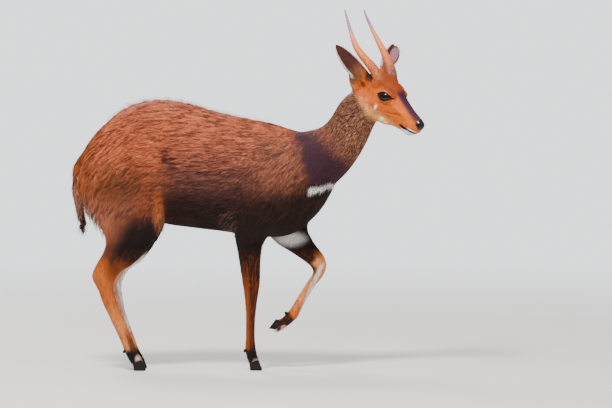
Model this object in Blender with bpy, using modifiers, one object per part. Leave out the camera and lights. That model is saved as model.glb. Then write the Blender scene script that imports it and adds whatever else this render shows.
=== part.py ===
"""A life-size bushbuck ram, walking: three hooves on the floor and the left forefoot lifted.

Metres in the scene. +X is the way the animal walks, +Y its left and +Z up. The tables of
sections are in centimetres, taken from the outline of an animal 81 cm high at the withers.
"""

import math
import random

import bmesh
import bpy
from mathutils import Matrix, Vector
from mathutils.bvhtree import BVHTree

# Units and sides
CM = 0.01
MM = 0.001
RIGHT = -1
LEFT = 1

# Fit and resolution
GAP = 0.3 * MM
EAR_GAP = 0.45 * MM
VOXEL = 3.2 * MM
BODY_TRIANGLES = 3700
HEAD_TRIANGLES = 1750
SOFTENED_ABOVE = 0.30
SOFTENED_FULLY = 0.50
BODY_SOFTENING = 60
HEAD_SOFTENING = 14

# The trunk from rump to breast: x, top z, bottom z, half width
TRUNK = (
    (-57.0, 69.0, 62.5, 2.6),
    (-55.6, 73.4, 60.0, 5.6),
    (-52.9, 77.6, 58.6, 8.4),
    (-48.3, 82.2, 56.6, 10.0),
    (-41.7, 87.3, 54.0, 10.9),
    (-35.0, 89.7, 50.6, 11.3),
    (-28.3, 90.2, 48.6, 11.9),
    (-21.7, 89.2, 47.7, 12.8),
    (-15.0, 87.2, 46.9, 13.2),
    (-8.3, 85.4, 46.1, 12.9),
    (-1.7, 84.1, 45.1, 12.1),
    (5.0, 82.7, 44.3, 11.2),
    (11.7, 81.2, 44.6, 10.2),
    (16.7, 79.6, 46.8, 9.2),
    (20.7, 76.8, 50.2, 8.0),
    (24.0, 73.0, 53.8, 6.5),
    (26.7, 67.8, 58.2, 4.5),
    (28.0, 64.5, 60.8, 2.5),
)
TRUNK_WIDEST = 0.46
TRUNK_SQUARE = 0.9

# The neck and the limbs: front x and z, back x and z, distance from the middle plane, half width
NECK = (
    (13.3, 77.5, 23.5, 57.2, 0.0, 8.6),
    (18.3, 80.0, 28.3, 61.8, 0.0, 7.7),
    (23.7, 81.2, 31.9, 65.2, 0.0, 6.9),
    (27.2, 85.0, 35.7, 70.0, -0.2, 6.2),
    (29.6, 89.2, 38.7, 75.2, -0.4, 5.8),
    (32.0, 91.8, 40.5, 79.2, -0.6, 5.4),
    (34.7, 93.8, 41.8, 81.8, -0.9, 4.9),
    (37.7, 95.0, 43.3, 84.8, -1.3, 4.2),
    (41.5, 94.5, 45.0, 87.5, -2.0, 2.8),
)
HIND_LEG = (
    (-36.7, 73.8, -52.4, 73.8, 5.5, 4.4),
    (-31.3, 67.2, -57.0, 67.2, 6.7, 5.2),
    (-29.0, 60.5, -57.6, 60.5, 7.0, 5.3),
    (-28.3, 55.5, -56.4, 55.5, 7.2, 5.0),
    (-28.0, 51.2, -52.9, 51.2, 7.4, 4.6),
    (-29.3, 47.2, -49.7, 47.2, 7.4, 4.1),
    (-31.3, 43.8, -48.3, 43.8, 7.2, 3.7),
    (-33.7, 40.5, -48.8, 40.5, 6.9, 3.3),
    (-36.8, 37.2, -50.0, 38.2, 6.6, 2.85),
    (-39.7, 34.8, -51.7, 35.3, 6.3, 2.45),
    (-42.7, 33.3, -53.0, 32.2, 6.1, 2.2),
    (-44.8, 30.5, -52.8, 30.2, 6.0, 2.1),
    (-45.7, 27.5, -51.0, 27.2, 5.8, 1.95),
    (-44.7, 23.8, -49.7, 23.2, 5.6, 1.65),
    (-43.3, 19.8, -47.7, 18.8, 5.4, 1.45),
    (-41.3, 15.5, -45.7, 14.5, 5.2, 1.45),
    (-39.3, 10.7, -43.5, 9.8, 5.0, 1.55),
    (-38.2, 7.5, -42.3, 6.5, 4.9, 1.85),
    (-37.2, 5.5, -41.0, 4.0, 4.8, 1.85),
    (-36.2, 3.6, -39.9, 2.3, 4.7, 1.75),
    (-35.6, 2.0, -39.0, 0.7, 4.7, 1.75),
)
STANDING_FORE_LEG = (
    (15.3, 73.8, 1.7, 73.8, 6.0, 3.5),
    (18.0, 65.5, -1.7, 65.5, 7.0, 4.0),
    (17.7, 57.2, -4.7, 57.2, 7.2, 4.2),
    (13.3, 51.2, -6.0, 51.2, 6.8, 4.0),
    (7.3, 46.5, -5.8, 46.5, 6.2, 3.6),
    (4.7, 42.8, -5.2, 42.8, 5.6, 3.1),
    (3.7, 38.8, -4.5, 38.8, 5.0, 2.7),
    (3.3, 34.5, -3.8, 34.5, 4.4, 2.4),
    (3.2, 30.5, -3.2, 30.5, 3.9, 2.3),
    (2.8, 27.2, -2.7, 27.2, 3.5, 2.25),
    (2.2, 23.8, -2.3, 23.8, 3.2, 1.9),
    (1.7, 19.8, -2.0, 19.8, 2.9, 1.55),
    (1.3, 14.5, -2.0, 14.5, 2.6, 1.45),
    (1.3, 9.8, -2.1, 9.8, 2.3, 1.55),
    (1.7, 6.8, -2.3, 6.8, 2.1, 1.85),
    (2.0, 4.8, -1.8, 4.8, 2.0, 1.85),
    (2.6, 3.3, -1.0, 2.5, 1.9, 1.75),
    (3.1, 1.8, -0.3, 1.0, 1.9, 1.75),
)
LIFTED_FORE_LEG = (
    (16.7, 73.8, 4.0, 73.8, 6.0, 3.5),
    (20.3, 65.5, 2.0, 65.5, 6.9, 4.0),
    (21.3, 57.2, 1.7, 57.2, 6.9, 4.1),
    (21.0, 51.5, 4.0, 49.2, 6.9, 4.0),
    (19.3, 47.5, 7.3, 42.8, 6.6, 3.6),
    (20.3, 44.8, 11.3, 40.2, 6.2, 3.1),
    (21.7, 42.5, 14.0, 38.7, 5.8, 2.6),
    (23.0, 40.7, 17.0, 36.7, 5.5, 2.3),
    (24.5, 38.8, 19.7, 34.8, 5.3, 2.25),
    (25.7, 36.2, 21.0, 33.3, 5.2, 2.25),
    (25.8, 33.7, 21.3, 32.3, 5.1, 2.1),
    (24.5, 30.8, 20.8, 31.5, 5.0, 1.9),
    (22.2, 28.0, 19.3, 29.5, 4.9, 1.6),
    (20.3, 25.2, 17.7, 27.0, 4.8, 1.45),
    (18.7, 22.2, 15.8, 24.0, 4.7, 1.45),
    (17.3, 19.5, 14.2, 21.3, 4.6, 1.6),
    (16.3, 17.3, 13.2, 19.6, 4.5, 1.85),
    (14.3, 15.4, 11.8, 18.2, 4.5, 1.85),
    (12.0, 13.6, 10.6, 16.9, 4.5, 1.75),
    (9.6, 12.3, 9.6, 15.9, 4.5, 1.75),
    (7.9, 11.6, 8.8, 15.2, 4.5, 1.75),
)
HIND_SHIFT = {RIGHT: 0.4, LEFT: 0.0}
FORE_SHIFT = {RIGHT: 0.6, LEFT: -0.4}
FAR_HOCK_AHEAD = 2.2
FAR_HOCK_AT = 30.0
FAR_HOCK_REACH = 11.0

# The head in its own frame: origin midway between the eyes, +X to the nose, +Z up
HEAD_AT = Vector((47.6, -5.4, 91.7)) * CM
HEAD_TURN = math.radians(-40)
HEAD_DIP = math.radians(33)
# x, top z, bottom z, half width, share of the depth that lies below the widest point
SKULL = (
    (-12.0, 0.6, -4.5, 2.2, 0.5),
    (-10.4, 2.6, -6.6, 3.7, 0.55),
    (-7.8, 4.0, -8.4, 4.3, 0.6),
    (-5.0, 4.7, -9.4, 4.5, 0.64),
    (-2.5, 4.7, -9.8, 4.4, 0.66),
    (0.0, 4.2, -9.6, 4.1, 0.66),
    (2.5, 3.5, -9.1, 3.5, 0.62),
    (5.0, 2.7, -8.4, 3.0, 0.58),
    (7.5, 2.0, -7.7, 2.6, 0.56),
    (10.0, 1.4, -7.1, 2.35, 0.55),
    (12.2, 1.0, -6.6, 2.25, 0.55),
    (13.8, 0.8, -6.2, 2.1, 0.55),
    (15.2, 0.6, -5.2, 1.8, 0.55),
    (16.2, 0.2, -4.0, 1.3, 0.55),
    (16.6, -0.4, -3.0, 0.7, 0.5),
)
SKULL_SQUARE = 0.92
# Fleshy and bony swellings of one side of the head: centre, then radii
HEAD_SWELLINGS = (
    ((0.0, 2.4, 0.1), (2.8, 2.3, 2.5)),
    ((0.6, 3.3, 1.9), (3.0, 1.3, 1.1)),
    ((-3.4, 2.6, -4.9), (4.8, 2.1, 4.0)),
    ((4.6, 2.0, -1.4), (5.8, 1.3, 1.3)),
    ((12.4, 1.2, -3.0), (3.2, 1.4, 2.0)),
    ((-4.8, 2.3, 3.0), (2.8, 2.3, 1.9)),
    ((-8.8, 3.1, 0.2), (2.6, 2.2, 2.6)),
)
HEAD_LUMPS = (
    ((11.8, 0.0, -6.0), (2.8, 1.6, 1.1)),
    ((15.3, 0.0, -1.4), (1.7, 1.9, 1.9)),
    ((-6.5, 0.0, 3.2), (3.2, 2.8, 1.6)),
)

# Eyes
EYE_AT = Vector((0.1, 3.0, 0.0))
EYE_RADIUS = 2.15
EYE_FACING = Vector((0.34, 0.93, 0.08))
LID_THICKNESS = 0.22
EYE_OPENING = (1.95, 1.25)
EYE_OPENING_SLANT = math.radians(20)

# Nostrils and mouth
NOSTRIL_AT = Vector((15.9, 1.15, -0.7))
NOSTRIL_SIZE = (0.62, 0.5, 0.3)
MOUTH_FROM = Vector((10.2, 0, -4.9))
MOUTH_TO = Vector((17.6, 0, -3.9))
MOUTH_SAG = 0.35
MOUTH_DEPTH = 0.5
MOUTH_HEIGHT = 0.14

# Horns: offsets of the centre line from the root, then the radius
HORN_ROOT = Vector((-5.2, 2.95, 3.5))
HORN = (
    (1.0, -0.4, -1.6, 1.75),
    (-1.4, 0.5, 0.4, 1.78),
    (-4.7, 1.6, 2.0, 1.62),
    (-8.2, 2.6, 3.0, 1.4),
    (-11.8, 3.2, 4.1, 1.2),
    (-15.2, 3.0, 5.6, 0.95),
    (-18.5, 2.5, 7.3, 0.7),
    (-21.4, 2.1, 9.0, 0.52),
    (-23.6, 1.85, 10.4, 0.34),
    (-24.7, 1.7, 11.2, 0.13),
)
HORN_KEEL = 0.14
HORN_SIDES = 10

# Ears: root, then offsets of the ear's spine, half width and depth of the cup
EAR_ROOT = Vector((-8.6, 4.4, 1.0))
EAR = (
    (0.6, -0.9, -0.7, 1.5, 0.8),
    (-1.2, 0.9, 0.3, 2.2, 1.75),
    (-3.2, 2.8, 1.2, 2.7, 1.9),
    (-5.4, 4.8, 2.5, 2.8, 1.7),
    (-7.4, 6.6, 3.9, 2.4, 1.3),
    (-9.2, 8.3, 5.2, 1.7, 0.8),
    (-10.3, 9.4, 6.1, 0.95, 0.4),
    (-10.9, 9.9, 6.6, 0.35, 0.15),
)
EAR_THICKNESS = 0.3
EAR_OPENS = {RIGHT: Vector((-0.70, -0.45, -0.45)), LEFT: Vector((-0.5, -0.05, -0.8))}

# Feet: coronet centre x and z, turn of the foot, distance from the middle plane
FOOT_WIDTH = 3.9
FOOT_CLEFT = 0.12
CORONET = 3.1
CORONET_SLOPE = math.radians(20)
HOOF_TOE = (1.7, 3.0)
HOOF_HEEL = (-1.9, -1.5)
HIND_FOOT_AT = (-37.4, 4.75)
STANDING_FOOT_AT = (1.1, 1.95)
LIFTED_FOOT_AT = (9.2, 14.2, 4.5)
LIFTED_FOOT_TURN = math.radians(105)
DEWCLAW_RADII = (0.8, 0.6, 1.1)
DEWCLAW_APART = 1.15
DEWCLAW_AT = {
    "fore_right": (-3.6, 3.5),
    "fore_left": (-5.4, 1.8),
    "hind_right": (-5.0, 3.3),
    "hind_left": (-5.0, 3.3),
}

# Tail: x, z, half width and half depth
TAIL = (
    (-52.6, 74.4, 1.6, 1.2),
    (-55.2, 72.6, 2.2, 1.6),
    (-57.0, 69.0, 2.8, 1.8),
    (-57.7, 64.5, 3.4, 1.9),
    (-57.6, 59.5, 3.8, 1.9),
    (-57.0, 54.5, 3.6, 1.7),
    (-56.0, 50.5, 2.7, 1.2),
    (-55.3, 47.6, 1.1, 0.6),
)

# Locks of long hair: where their rows lie, length, width and thickness, and how far the tip stands off
LOCK_SEED = 7
LOCK_SINK = 0.5
CREST_FROM = -50.5
CREST_TO = 12.5
CREST_ROWS = (-0.7, 0.7)
CREST_STEP = 3.8
CREST_LOCK = (5.6, 1.5, 0.32)
CREST_LIFT = 1.0
TAIL_TIERS = 5
TAIL_RING = 4
TAIL_LOCK = (8.0, 2.6, 0.5)
TAIL_LIFT = 0.35
TAIL_CORE = 0.78
ELBOW_FROM = -8.0
ELBOW_STEP = 1.5
ELBOW_OUT = 5.0
ELBOW_LOCKS = 5
ELBOW_LOCK = (4.4, 1.2, 0.4)
ELBOW_LIFT = 1.0
# A lock's sections: how far along it, then shares of its lift, width and thickness
LOCK_PROFILE = ((0.0, 0.0, 0.7, 1.0), (0.3, 0.42, 1.0, 1.0), (0.68, 0.85, 0.72, 0.7))

# Where thin cuts part the body: a point, the cut's slope, and its length and width
CUT_HEAD = ((38.3, -3.0, 88.0), (0, 60, -22), (26.0, 17.0))
CUT_NECK = ((20.5, 0.0, 69.0), (0, 64, 0), (34.0, 24.0))
CUT_FORE = ((7.0, 7.0, 48.0), (28, 0, 0), (36.0, 17.0))
CUT_HIND = ((-43.2, 7.5, 51.5), (38, 0, 0), (34.0, 21.0))

# The pieces that the cuts leave, and the heights and place in metres that tell one from another
BODY_PIECES = 7
HEAD_ABOVE = 0.82
NECK_ABOVE = 0.72
TORSO_ABOVE = 0.55
FORE_AHEAD_OF = -0.15
FACE_ABOVE = 0.76

# Colours of the coat by piece, and of the rest
COAT_COLOUR = (0.28, 0.10, 0.04)
COAT_COLOURS = {
    "head": (0.46, 0.19, 0.07),
    "neck": (0.16, 0.075, 0.045),
    "leg_fore_right": (0.10, 0.045, 0.025),
    "leg_fore_left": (0.16, 0.07, 0.035),
    "leg_hind_right": (0.22, 0.085, 0.035),
    "leg_hind_left": (0.22, 0.085, 0.035),
}
EAR_COLOUR = (0.20, 0.085, 0.06)
EYE_COLOUR = (0.012, 0.008, 0.006)
HORN_COLOUR = (0.34, 0.22, 0.16)
HOOF_COLOUR = (0.03, 0.022, 0.02)


def clear_scene():
    for thing in list(bpy.data.objects):
        bpy.data.objects.remove(thing)


def catmull(p, a, b, n, t):
    return a + 0.5 * t * (b - p + t * (2 * p - 5 * a + 4 * b - n + t * (3 * (a - b) + n - p)))


def curve_through(rows, steps):
    """The rows and `steps` - 1 more between each two, on a smooth curve through them all."""
    found = []
    for i in range(len(rows) - 1):
        before = rows[max(i - 1, 0)]
        after = rows[min(i + 2, len(rows) - 1)]
        for k in range(steps):
            columns = zip(before, rows[i], rows[i + 1], after)
            found.append([catmull(*column, k / steps) for column in columns])
    found.append(list(rows[-1]))
    return found


def link_mesh(name, bm, collection):
    bmesh.ops.recalc_face_normals(bm, faces=bm.faces)
    mesh = bpy.data.meshes.new(name)
    bm.to_mesh(mesh)
    bm.free()
    thing = bpy.data.objects.new(name, mesh)
    collection.objects.link(thing)
    return thing


def section(front, back, width, widest=0.5, square=1.0, sides=28):
    """A closed ring from its back point to its front point, `width` to each side of them."""
    across = Vector((0, width, 0))
    middle = back.lerp(front, widest)
    ring = []
    for k in range(sides):
        angle = 2 * math.pi * k / sides
        out = math.copysign(abs(math.cos(angle)) ** square, math.cos(angle))
        end = front if math.sin(angle) > 0 else back
        ring.append(middle + (end - middle) * abs(math.sin(angle)) ** square + across * out)
    return ring


def loft(name, rings, collection, leaf=False):
    """A closed skin over the rings. A leaf's ends are closed from one face of it to the other."""
    bm = bmesh.new()
    rows = [[bm.verts.new(point) for point in ring] for ring in rings]
    for low, high in zip(rows, rows[1:]):
        for k in range(len(low)):
            after = (k + 1) % len(low)
            bm.faces.new((low[k], low[after], high[after], high[k]))
    for row, ring in ((rows[0], rings[0]), (rows[-1], rings[-1])):
        if leaf:
            for k in range(len(row) // 2 - 1):
                bm.faces.new((row[k], row[k + 1], row[-k - 2], row[-k - 1]))
            continue
        tip = bm.verts.new(sum(ring, Vector()) / len(ring))
        for k in range(len(row)):
            bm.faces.new((row[k], row[(k + 1) % len(row)], tip))
    return link_mesh(name, bm, collection)


def ellipsoid(name, centre, radii, collection, fineness=3, turn=None):
    bm = bmesh.new()
    bmesh.ops.create_icosphere(bm, subdivisions=fineness, radius=CM)
    place = Matrix.Translation(Vector(centre) * CM) @ (turn or Matrix())
    bm.transform(place @ Matrix.Diagonal((*radii, 1)))
    return link_mesh(name, bm, collection)


def trunk(collection):
    rings = []
    for x, top, bottom, width in curve_through(TRUNK, 4):
        front = Vector((x, 0, top)) * CM
        back = Vector((x, 0, bottom)) * CM
        rings.append(section(front, back, width * CM, TRUNK_WIDEST, TRUNK_SQUARE))
    return loft("trunk", rings, collection)


def limb(name, rows, side, shift, collection, bend=lambda z: 0.0):
    rings = []
    for front_x, front_z, back_x, back_z, out, width in curve_through(rows, 3):
        front = Vector((front_x + shift + bend(front_z), side * out, front_z)) * CM
        back = Vector((back_x + shift + bend(back_z), side * out, back_z)) * CM
        rings.append(section(front, back, width * CM))
    return loft(name, rings, collection)


def head_frame():
    turn = Matrix.Rotation(HEAD_TURN, 4, "Z") @ Matrix.Rotation(HEAD_DIP, 4, "Y")
    return Matrix.Translation(HEAD_AT) @ turn


def mirrored(point, side):
    return Vector((point[0], side * point[1], point[2]))


def head_masses(collection):
    rings = []
    for x, top, bottom, width, widest in curve_through(SKULL, 4):
        front = Vector((x, 0, top)) * CM
        back = Vector((x, 0, bottom)) * CM
        rings.append(section(front, back, width * CM, widest, SKULL_SQUARE))
    pieces = [loft("skull", rings, collection)]
    for centre, radii in HEAD_SWELLINGS:
        for side in (RIGHT, LEFT):
            pieces.append(ellipsoid("swelling", mirrored(centre, side), radii, collection))
    for centre, radii in HEAD_LUMPS:
        pieces.append(ellipsoid("lump", centre, radii, collection))
    for piece in pieces:
        piece.data.transform(head_frame())
    return pieces


def join(pieces, name):
    """One object of all the pieces' meshes, which may still cross one another."""
    bm = bmesh.new()
    for piece in pieces:
        bm.from_mesh(piece.data)
    collection = pieces[0].users_collection[0]
    for piece in pieces:
        bpy.data.objects.remove(piece)
    return link_mesh(name, bm, collection)


def apply_modifiers(thing):
    graph = bpy.context.evaluated_depsgraph_get()
    mesh = bpy.data.meshes.new_from_object(thing.evaluated_get(graph), depsgraph=graph)
    thing.modifiers.clear()
    thing.data = mesh


def remesh(thing, voxel):
    modifier = thing.modifiers.new("Remesh", "REMESH")
    modifier.mode = "VOXEL"
    modifier.voxel_size = voxel
    apply_modifiers(thing)


def weigh(thing, name, weight_at):
    """A vertex group that holds weight_at(point) at every vertex where that is more than nothing."""
    group = thing.vertex_groups.new(name=name)
    for vertex in thing.data.vertices:
        weight = weight_at(vertex.co)
        if weight > 0:
            group.add([vertex.index], weight, "REPLACE")
    return group


def soften(thing, name, steps, weight_at):
    group = weigh(thing, name, weight_at)
    modifier = thing.modifiers.new("Soften", "SMOOTH")
    modifier.factor = 0.5
    modifier.iterations = steps
    modifier.vertex_group = name
    apply_modifiers(thing)
    thing.vertex_groups.remove(thing.vertex_groups[name])


def thin_out(thing, name, triangles, inside):
    """Fewer faces where inside(point) holds, until that share has about `triangles` of them."""
    count = sum(1 for face in thing.data.polygons for _ in face.vertices[2:] if inside(face.center))
    total = sum(len(face.vertices) - 2 for face in thing.data.polygons)
    weigh(thing, name, lambda point: 1.0 if inside(point) else 0.0)
    modifier = thing.modifiers.new("Decimate", "DECIMATE")
    modifier.ratio = (total - count + triangles) / total
    modifier.vertex_group = name
    modifier.vertex_group_factor = 1.0
    apply_modifiers(thing)
    thing.vertex_groups.remove(thing.vertex_groups[name])


def lend(pieces):
    """A hidden collection that holds the pieces while a Boolean uses them."""
    group = bpy.data.collections.new("operands")
    bpy.context.scene.collection.children.link(group)
    group.hide_render = True
    for piece in pieces:
        for home in list(piece.users_collection):
            home.objects.unlink(piece)
        group.objects.link(piece)
        piece.hide_render = True
        piece.display_type = "WIRE"
    return group


def discard(group):
    for piece in list(group.objects):
        bpy.data.objects.remove(piece)
    bpy.data.collections.remove(group)


def unite(thing, pieces):
    """Joins all the pieces to the thing in one Boolean."""
    group = lend(pieces)
    modifier = thing.modifiers.new("Boolean", "BOOLEAN")
    modifier.operation = "UNION"
    modifier.operand_type = "COLLECTION"
    modifier.collection = group
    modifier.solver = "EXACT"
    apply_modifiers(thing)
    discard(group)


def cut(thing, cutters):
    """Takes each cutter away from the thing in turn."""
    group = lend(cutters)
    for cutter in cutters:
        modifier = thing.modifiers.new("Boolean", "BOOLEAN")
        modifier.operation = "DIFFERENCE"
        modifier.object = cutter
        modifier.solver = "EXACT"
        apply_modifiers(thing)
    discard(group)


def bodies_of(thing, most):
    """The closed surfaces of a mesh, each as its own object, the largest first."""
    bm = bmesh.new()
    bm.from_mesh(thing.data)
    bm.faces.ensure_lookup_table()
    seen = set()
    groups = []
    for start in bm.faces:
        if start.index in seen:
            continue
        seen.add(start.index)
        group = [start]
        for face in group:
            for edge in face.edges:
                for other in edge.link_faces:
                    if other.index not in seen:
                        seen.add(other.index)
                        group.append(other)
        groups.append({face.index for face in group})
    groups.sort(key=len, reverse=True)
    collection = thing.users_collection[0]
    found = []
    for group in groups[:most]:
        piece = bm.copy()
        others = [face for face in piece.faces if face.index not in group]
        bmesh.ops.delete(piece, geom=others, context="FACES")
        found.append(link_mesh("body", piece, collection))
    bm.free()
    bpy.data.objects.remove(thing)
    return found


def centre_of(thing):
    points = [vertex.co for vertex in thing.data.vertices]
    return sum(points, Vector()) / len(points)


def inflated(thing, by):
    """A copy of the thing with every vertex moved out by about `by`, for cutting its seat."""
    copy = thing.copy()
    copy.data = thing.data.copy()
    thing.users_collection[0].objects.link(copy)
    bm = bmesh.new()
    bm.from_mesh(copy.data)
    bm.normal_update()
    moves = [vertex.normal * by * min(vertex.calc_shell_factor(), 1.6) for vertex in bm.verts]
    for vertex, move in zip(bm.verts, moves):
        vertex.co += move
    bm.to_mesh(copy.data)
    bm.free()
    return copy


def slab(centre, turn, size, collection):
    """A flat sheet GAP thick, which parts one piece of the body from the next."""
    bm = bmesh.new()
    bmesh.ops.create_cube(bm, size=1)
    turned = Matrix()
    for angle, axis in zip(turn, "XYZ"):
        turned = Matrix.Rotation(math.radians(angle), 4, axis) @ turned
    place = Matrix.Translation(Vector(centre) * CM) @ turned
    bm.transform(place @ Matrix.Diagonal((size[0] * CM, size[1] * CM, GAP, 1)))
    return link_mesh("slab", bm, collection)


def almond(side, collection):
    """A wedge with the outline of the open eye, from inside the eyeball outward."""
    facing = mirrored(EYE_FACING, side).normalized()
    along = Vector((1, 0, 0))
    along = (along - facing * along.dot(facing)).normalized()
    upward = along.cross(facing) * -side
    slant = Matrix.Rotation(-side * EYE_OPENING_SLANT, 3, facing)
    along = slant @ along
    upward = slant @ upward
    if upward.z < 0:
        upward = -upward
    centre = mirrored(EYE_AT, side)
    rings = []
    for far, spread in ((0.6, 0.9), (1.95, 1.0), (3.2, 1.12)):
        ring = []
        for k in range(20):
            angle = 2 * math.pi * k / 20
            x = math.copysign(abs(math.cos(angle)) ** 0.9, math.cos(angle)) * EYE_OPENING[0]
            z = math.copysign(abs(math.sin(angle)) ** 1.15, math.sin(angle)) * EYE_OPENING[1]
            ring.append((centre + facing * far + (along * x + upward * z) * spread) * CM)
        rings.append(ring)
    thing = loft("almond", rings, collection)
    thing.data.transform(head_frame())
    return thing


def eye(side, collection):
    thing = ellipsoid(node_name("eye", side), mirrored(EYE_AT, side), (EYE_RADIUS,) * 3, collection)
    thing.data.transform(head_frame())
    return thing


def nostril(side, collection):
    turn = Matrix.Rotation(side * math.radians(35), 4, "Z") @ Matrix.Rotation(math.radians(40), 4, "Y")
    thing = ellipsoid("nostril", mirrored(NOSTRIL_AT, side), NOSTRIL_SIZE, collection, 2, turn)
    thing.data.transform(head_frame())
    return thing


def mouth_line(side, collection):
    """A thin cut along one side of the muzzle, as deep as the lips."""
    rings = []
    steps = 12
    for k in range(steps + 1):
        t = k / steps
        point = MOUTH_FROM.lerp(MOUTH_TO, t)
        point.z -= MOUTH_SAG * math.sin(math.pi * t)
        skin = muzzle_width(point.x)
        height = MOUTH_HEIGHT * (0.5 + 0.5 * min(1, 4 * t))
        inner = max(skin - MOUTH_DEPTH, 0.02)
        ring = [
            Vector((point.x, side * (skin + 0.8), point.z + height)),
            Vector((point.x, side * (skin + 0.8), point.z - height)),
            Vector((point.x, side * inner, point.z - height * 0.3)),
            Vector((point.x, side * inner, point.z + height * 0.3)),
        ]
        rings.append([corner * CM for corner in ring])
    thing = loft("mouth", rings, collection)
    thing.data.transform(head_frame())
    return thing


def muzzle_width(x):
    for (x0, *_, w0, _), (x1, *_, w1, _) in zip(SKULL, SKULL[1:]):
        if x0 <= x <= x1:
            return w0 + (w1 - w0) * (x - x0) / (x1 - x0)
    return SKULL[-1][3]


def tube(name, rows, sides, collection, keel=0.0):
    """A loft round a centre line, each row being its x, y, z and radius in centimetres."""
    rings = []
    up = Vector((0.3, 0, 1)).normalized()
    for i, row in enumerate(rows):
        before = Vector(rows[max(i - 1, 0)][:3])
        after = Vector(rows[min(i + 1, len(rows) - 1)][:3])
        along = (after - before).normalized()
        side = along.cross(up).normalized()
        top = side.cross(along).normalized()
        ring = []
        for k in range(sides):
            angle = 2 * math.pi * k / sides
            radius = row[3] * (1 + keel * math.cos(2 * angle + 3.0 * i / len(rows)))
            ring.append((Vector(row[:3]) + (side * math.cos(angle) + top * math.sin(angle)) * radius) * CM)
        rings.append(ring)
    return loft(name, rings, collection)


def horn(side, collection):
    rows = []
    for x, y, z, radius in curve_through(HORN, 2):
        point = mirrored(HORN_ROOT + Vector((x, y, z)), side)
        rows.append((*point, radius))
    thing = tube(node_name("horn", side), rows, HORN_SIDES, collection, HORN_KEEL)
    thing.data.transform(head_frame())
    return thing


def ear(side, collection):
    """A thin leaf rolled into a cup round the ear's spine, open to the side and the back."""
    rows = curve_through(EAR, 2)
    opens = EAR_OPENS[side].normalized()
    across_count = 8
    outer = []
    inner = []
    for i, row in enumerate(rows):
        before = Vector(rows[max(i - 1, 0)][:3])
        after = Vector(rows[min(i + 1, len(rows) - 1)][:3])
        along = (after - before).normalized()
        facing = (opens - along * opens.dot(along)).normalized()
        across = along.cross(facing)
        spine = EAR_ROOT + Vector(row[:3])
        width = row[3]
        depth = row[4]
        thickness = min(EAR_THICKNESS, width * 0.5)
        line_out = []
        line_in = []
        for k in range(across_count + 1):
            u = 2 * k / across_count - 1
            angle = u * math.pi * 0.5
            point = spine + across * (width * math.sin(angle)) + facing * (depth * (1 - math.cos(angle)) - depth * 0.5)
            normal = (across * math.sin(angle) * 0.6 - facing * math.cos(angle)).normalized()
            line_out.append(point)
            line_in.append(point - normal * thickness * (1 - 0.5 * abs(u)))
        outer.append(line_out)
        inner.append(line_in)
    rings = []
    for line_out, line_in in zip(outer, inner):
        ring = line_out + line_in[::-1]
        rings.append([mirrored(point, side) * CM for point in ring])
    thing = loft(node_name("ear", side), rings, collection, leaf=True)
    thing.data.transform(head_frame())
    return thing


def foot_frame(x, y, z, turn):
    return Matrix.Translation(Vector((x, y, z)) * CM) @ Matrix.Rotation(turn, 4, "Y")


def claw(name, frame, side, collection):
    """Half of a cloven hoof, with a flat sole, its origin at the middle of the coronet."""
    rings = []
    half = FOOT_WIDTH / 2
    for level in (0.0, 0.5, 1.0):
        front = HOOF_TOE[0] + (HOOF_TOE[1] - HOOF_TOE[0]) * level
        back = HOOF_HEEL[0] + (HOOF_HEEL[1] - HOOF_HEEL[0]) * level
        outer = half * (0.93 + 0.07 * level)
        ring = []
        for k in range(14):
            angle = 2 * math.pi * k / 14
            out = 0.5 + 0.5 * math.cos(angle)
            point_in = 0.75 if math.sin(angle) > 0 else 1.0
            x = (front + back) / 2 + (front - back) / 2 * math.sin(angle)
            y = FOOT_CLEFT / 2 + (outer - FOOT_CLEFT / 2) * out * (1 - (1 - point_in) * abs(math.sin(angle)))
            top = x * math.tan(CORONET_SLOPE)
            ring.append(Vector((x, side * y, top * (1 - level) - CORONET * level)) * CM)
        rings.append(ring)
    thing = loft(name, rings, collection)
    thing.data.transform(frame)
    return thing


def foot_trim(frame, collection):
    """A block that takes away the flesh below the coronet, with the gap that the hoof keeps."""
    bm = bmesh.new()
    bmesh.ops.create_cube(bm, size=1)
    place = frame @ Matrix.Rotation(-CORONET_SLOPE, 4, "Y")
    place = place @ Matrix.Translation(Vector((0, 0, -4 * CM + GAP)))
    bm.transform(place @ Matrix.Diagonal((14 * CM, 7 * CM, 8 * CM, 1)))
    return link_mesh("trim", bm, collection)


def dewclaw(name, frame, place, side, collection):
    turn = Matrix.Rotation(math.radians(25), 4, "Y")
    centre = (place[0], side * DEWCLAW_APART, place[1])
    thing = ellipsoid(name, centre, DEWCLAW_RADII, collection, 2, turn)
    thing.data.transform(frame)
    return thing


def tail(collection):
    rows = []
    for x, z, width, depth in curve_through(TAIL, 2):
        ring = []
        for k in range(12):
            angle = 2 * math.pi * k / 12
            across = width * TAIL_CORE * math.cos(angle)
            ring.append(Vector((x + depth * TAIL_CORE * math.sin(angle), across, z)) * CM)
        rows.append(ring)
    core = loft("tail", rows, collection)
    unite(core, tail_locks(core, collection))
    return keep_largest(core)


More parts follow.
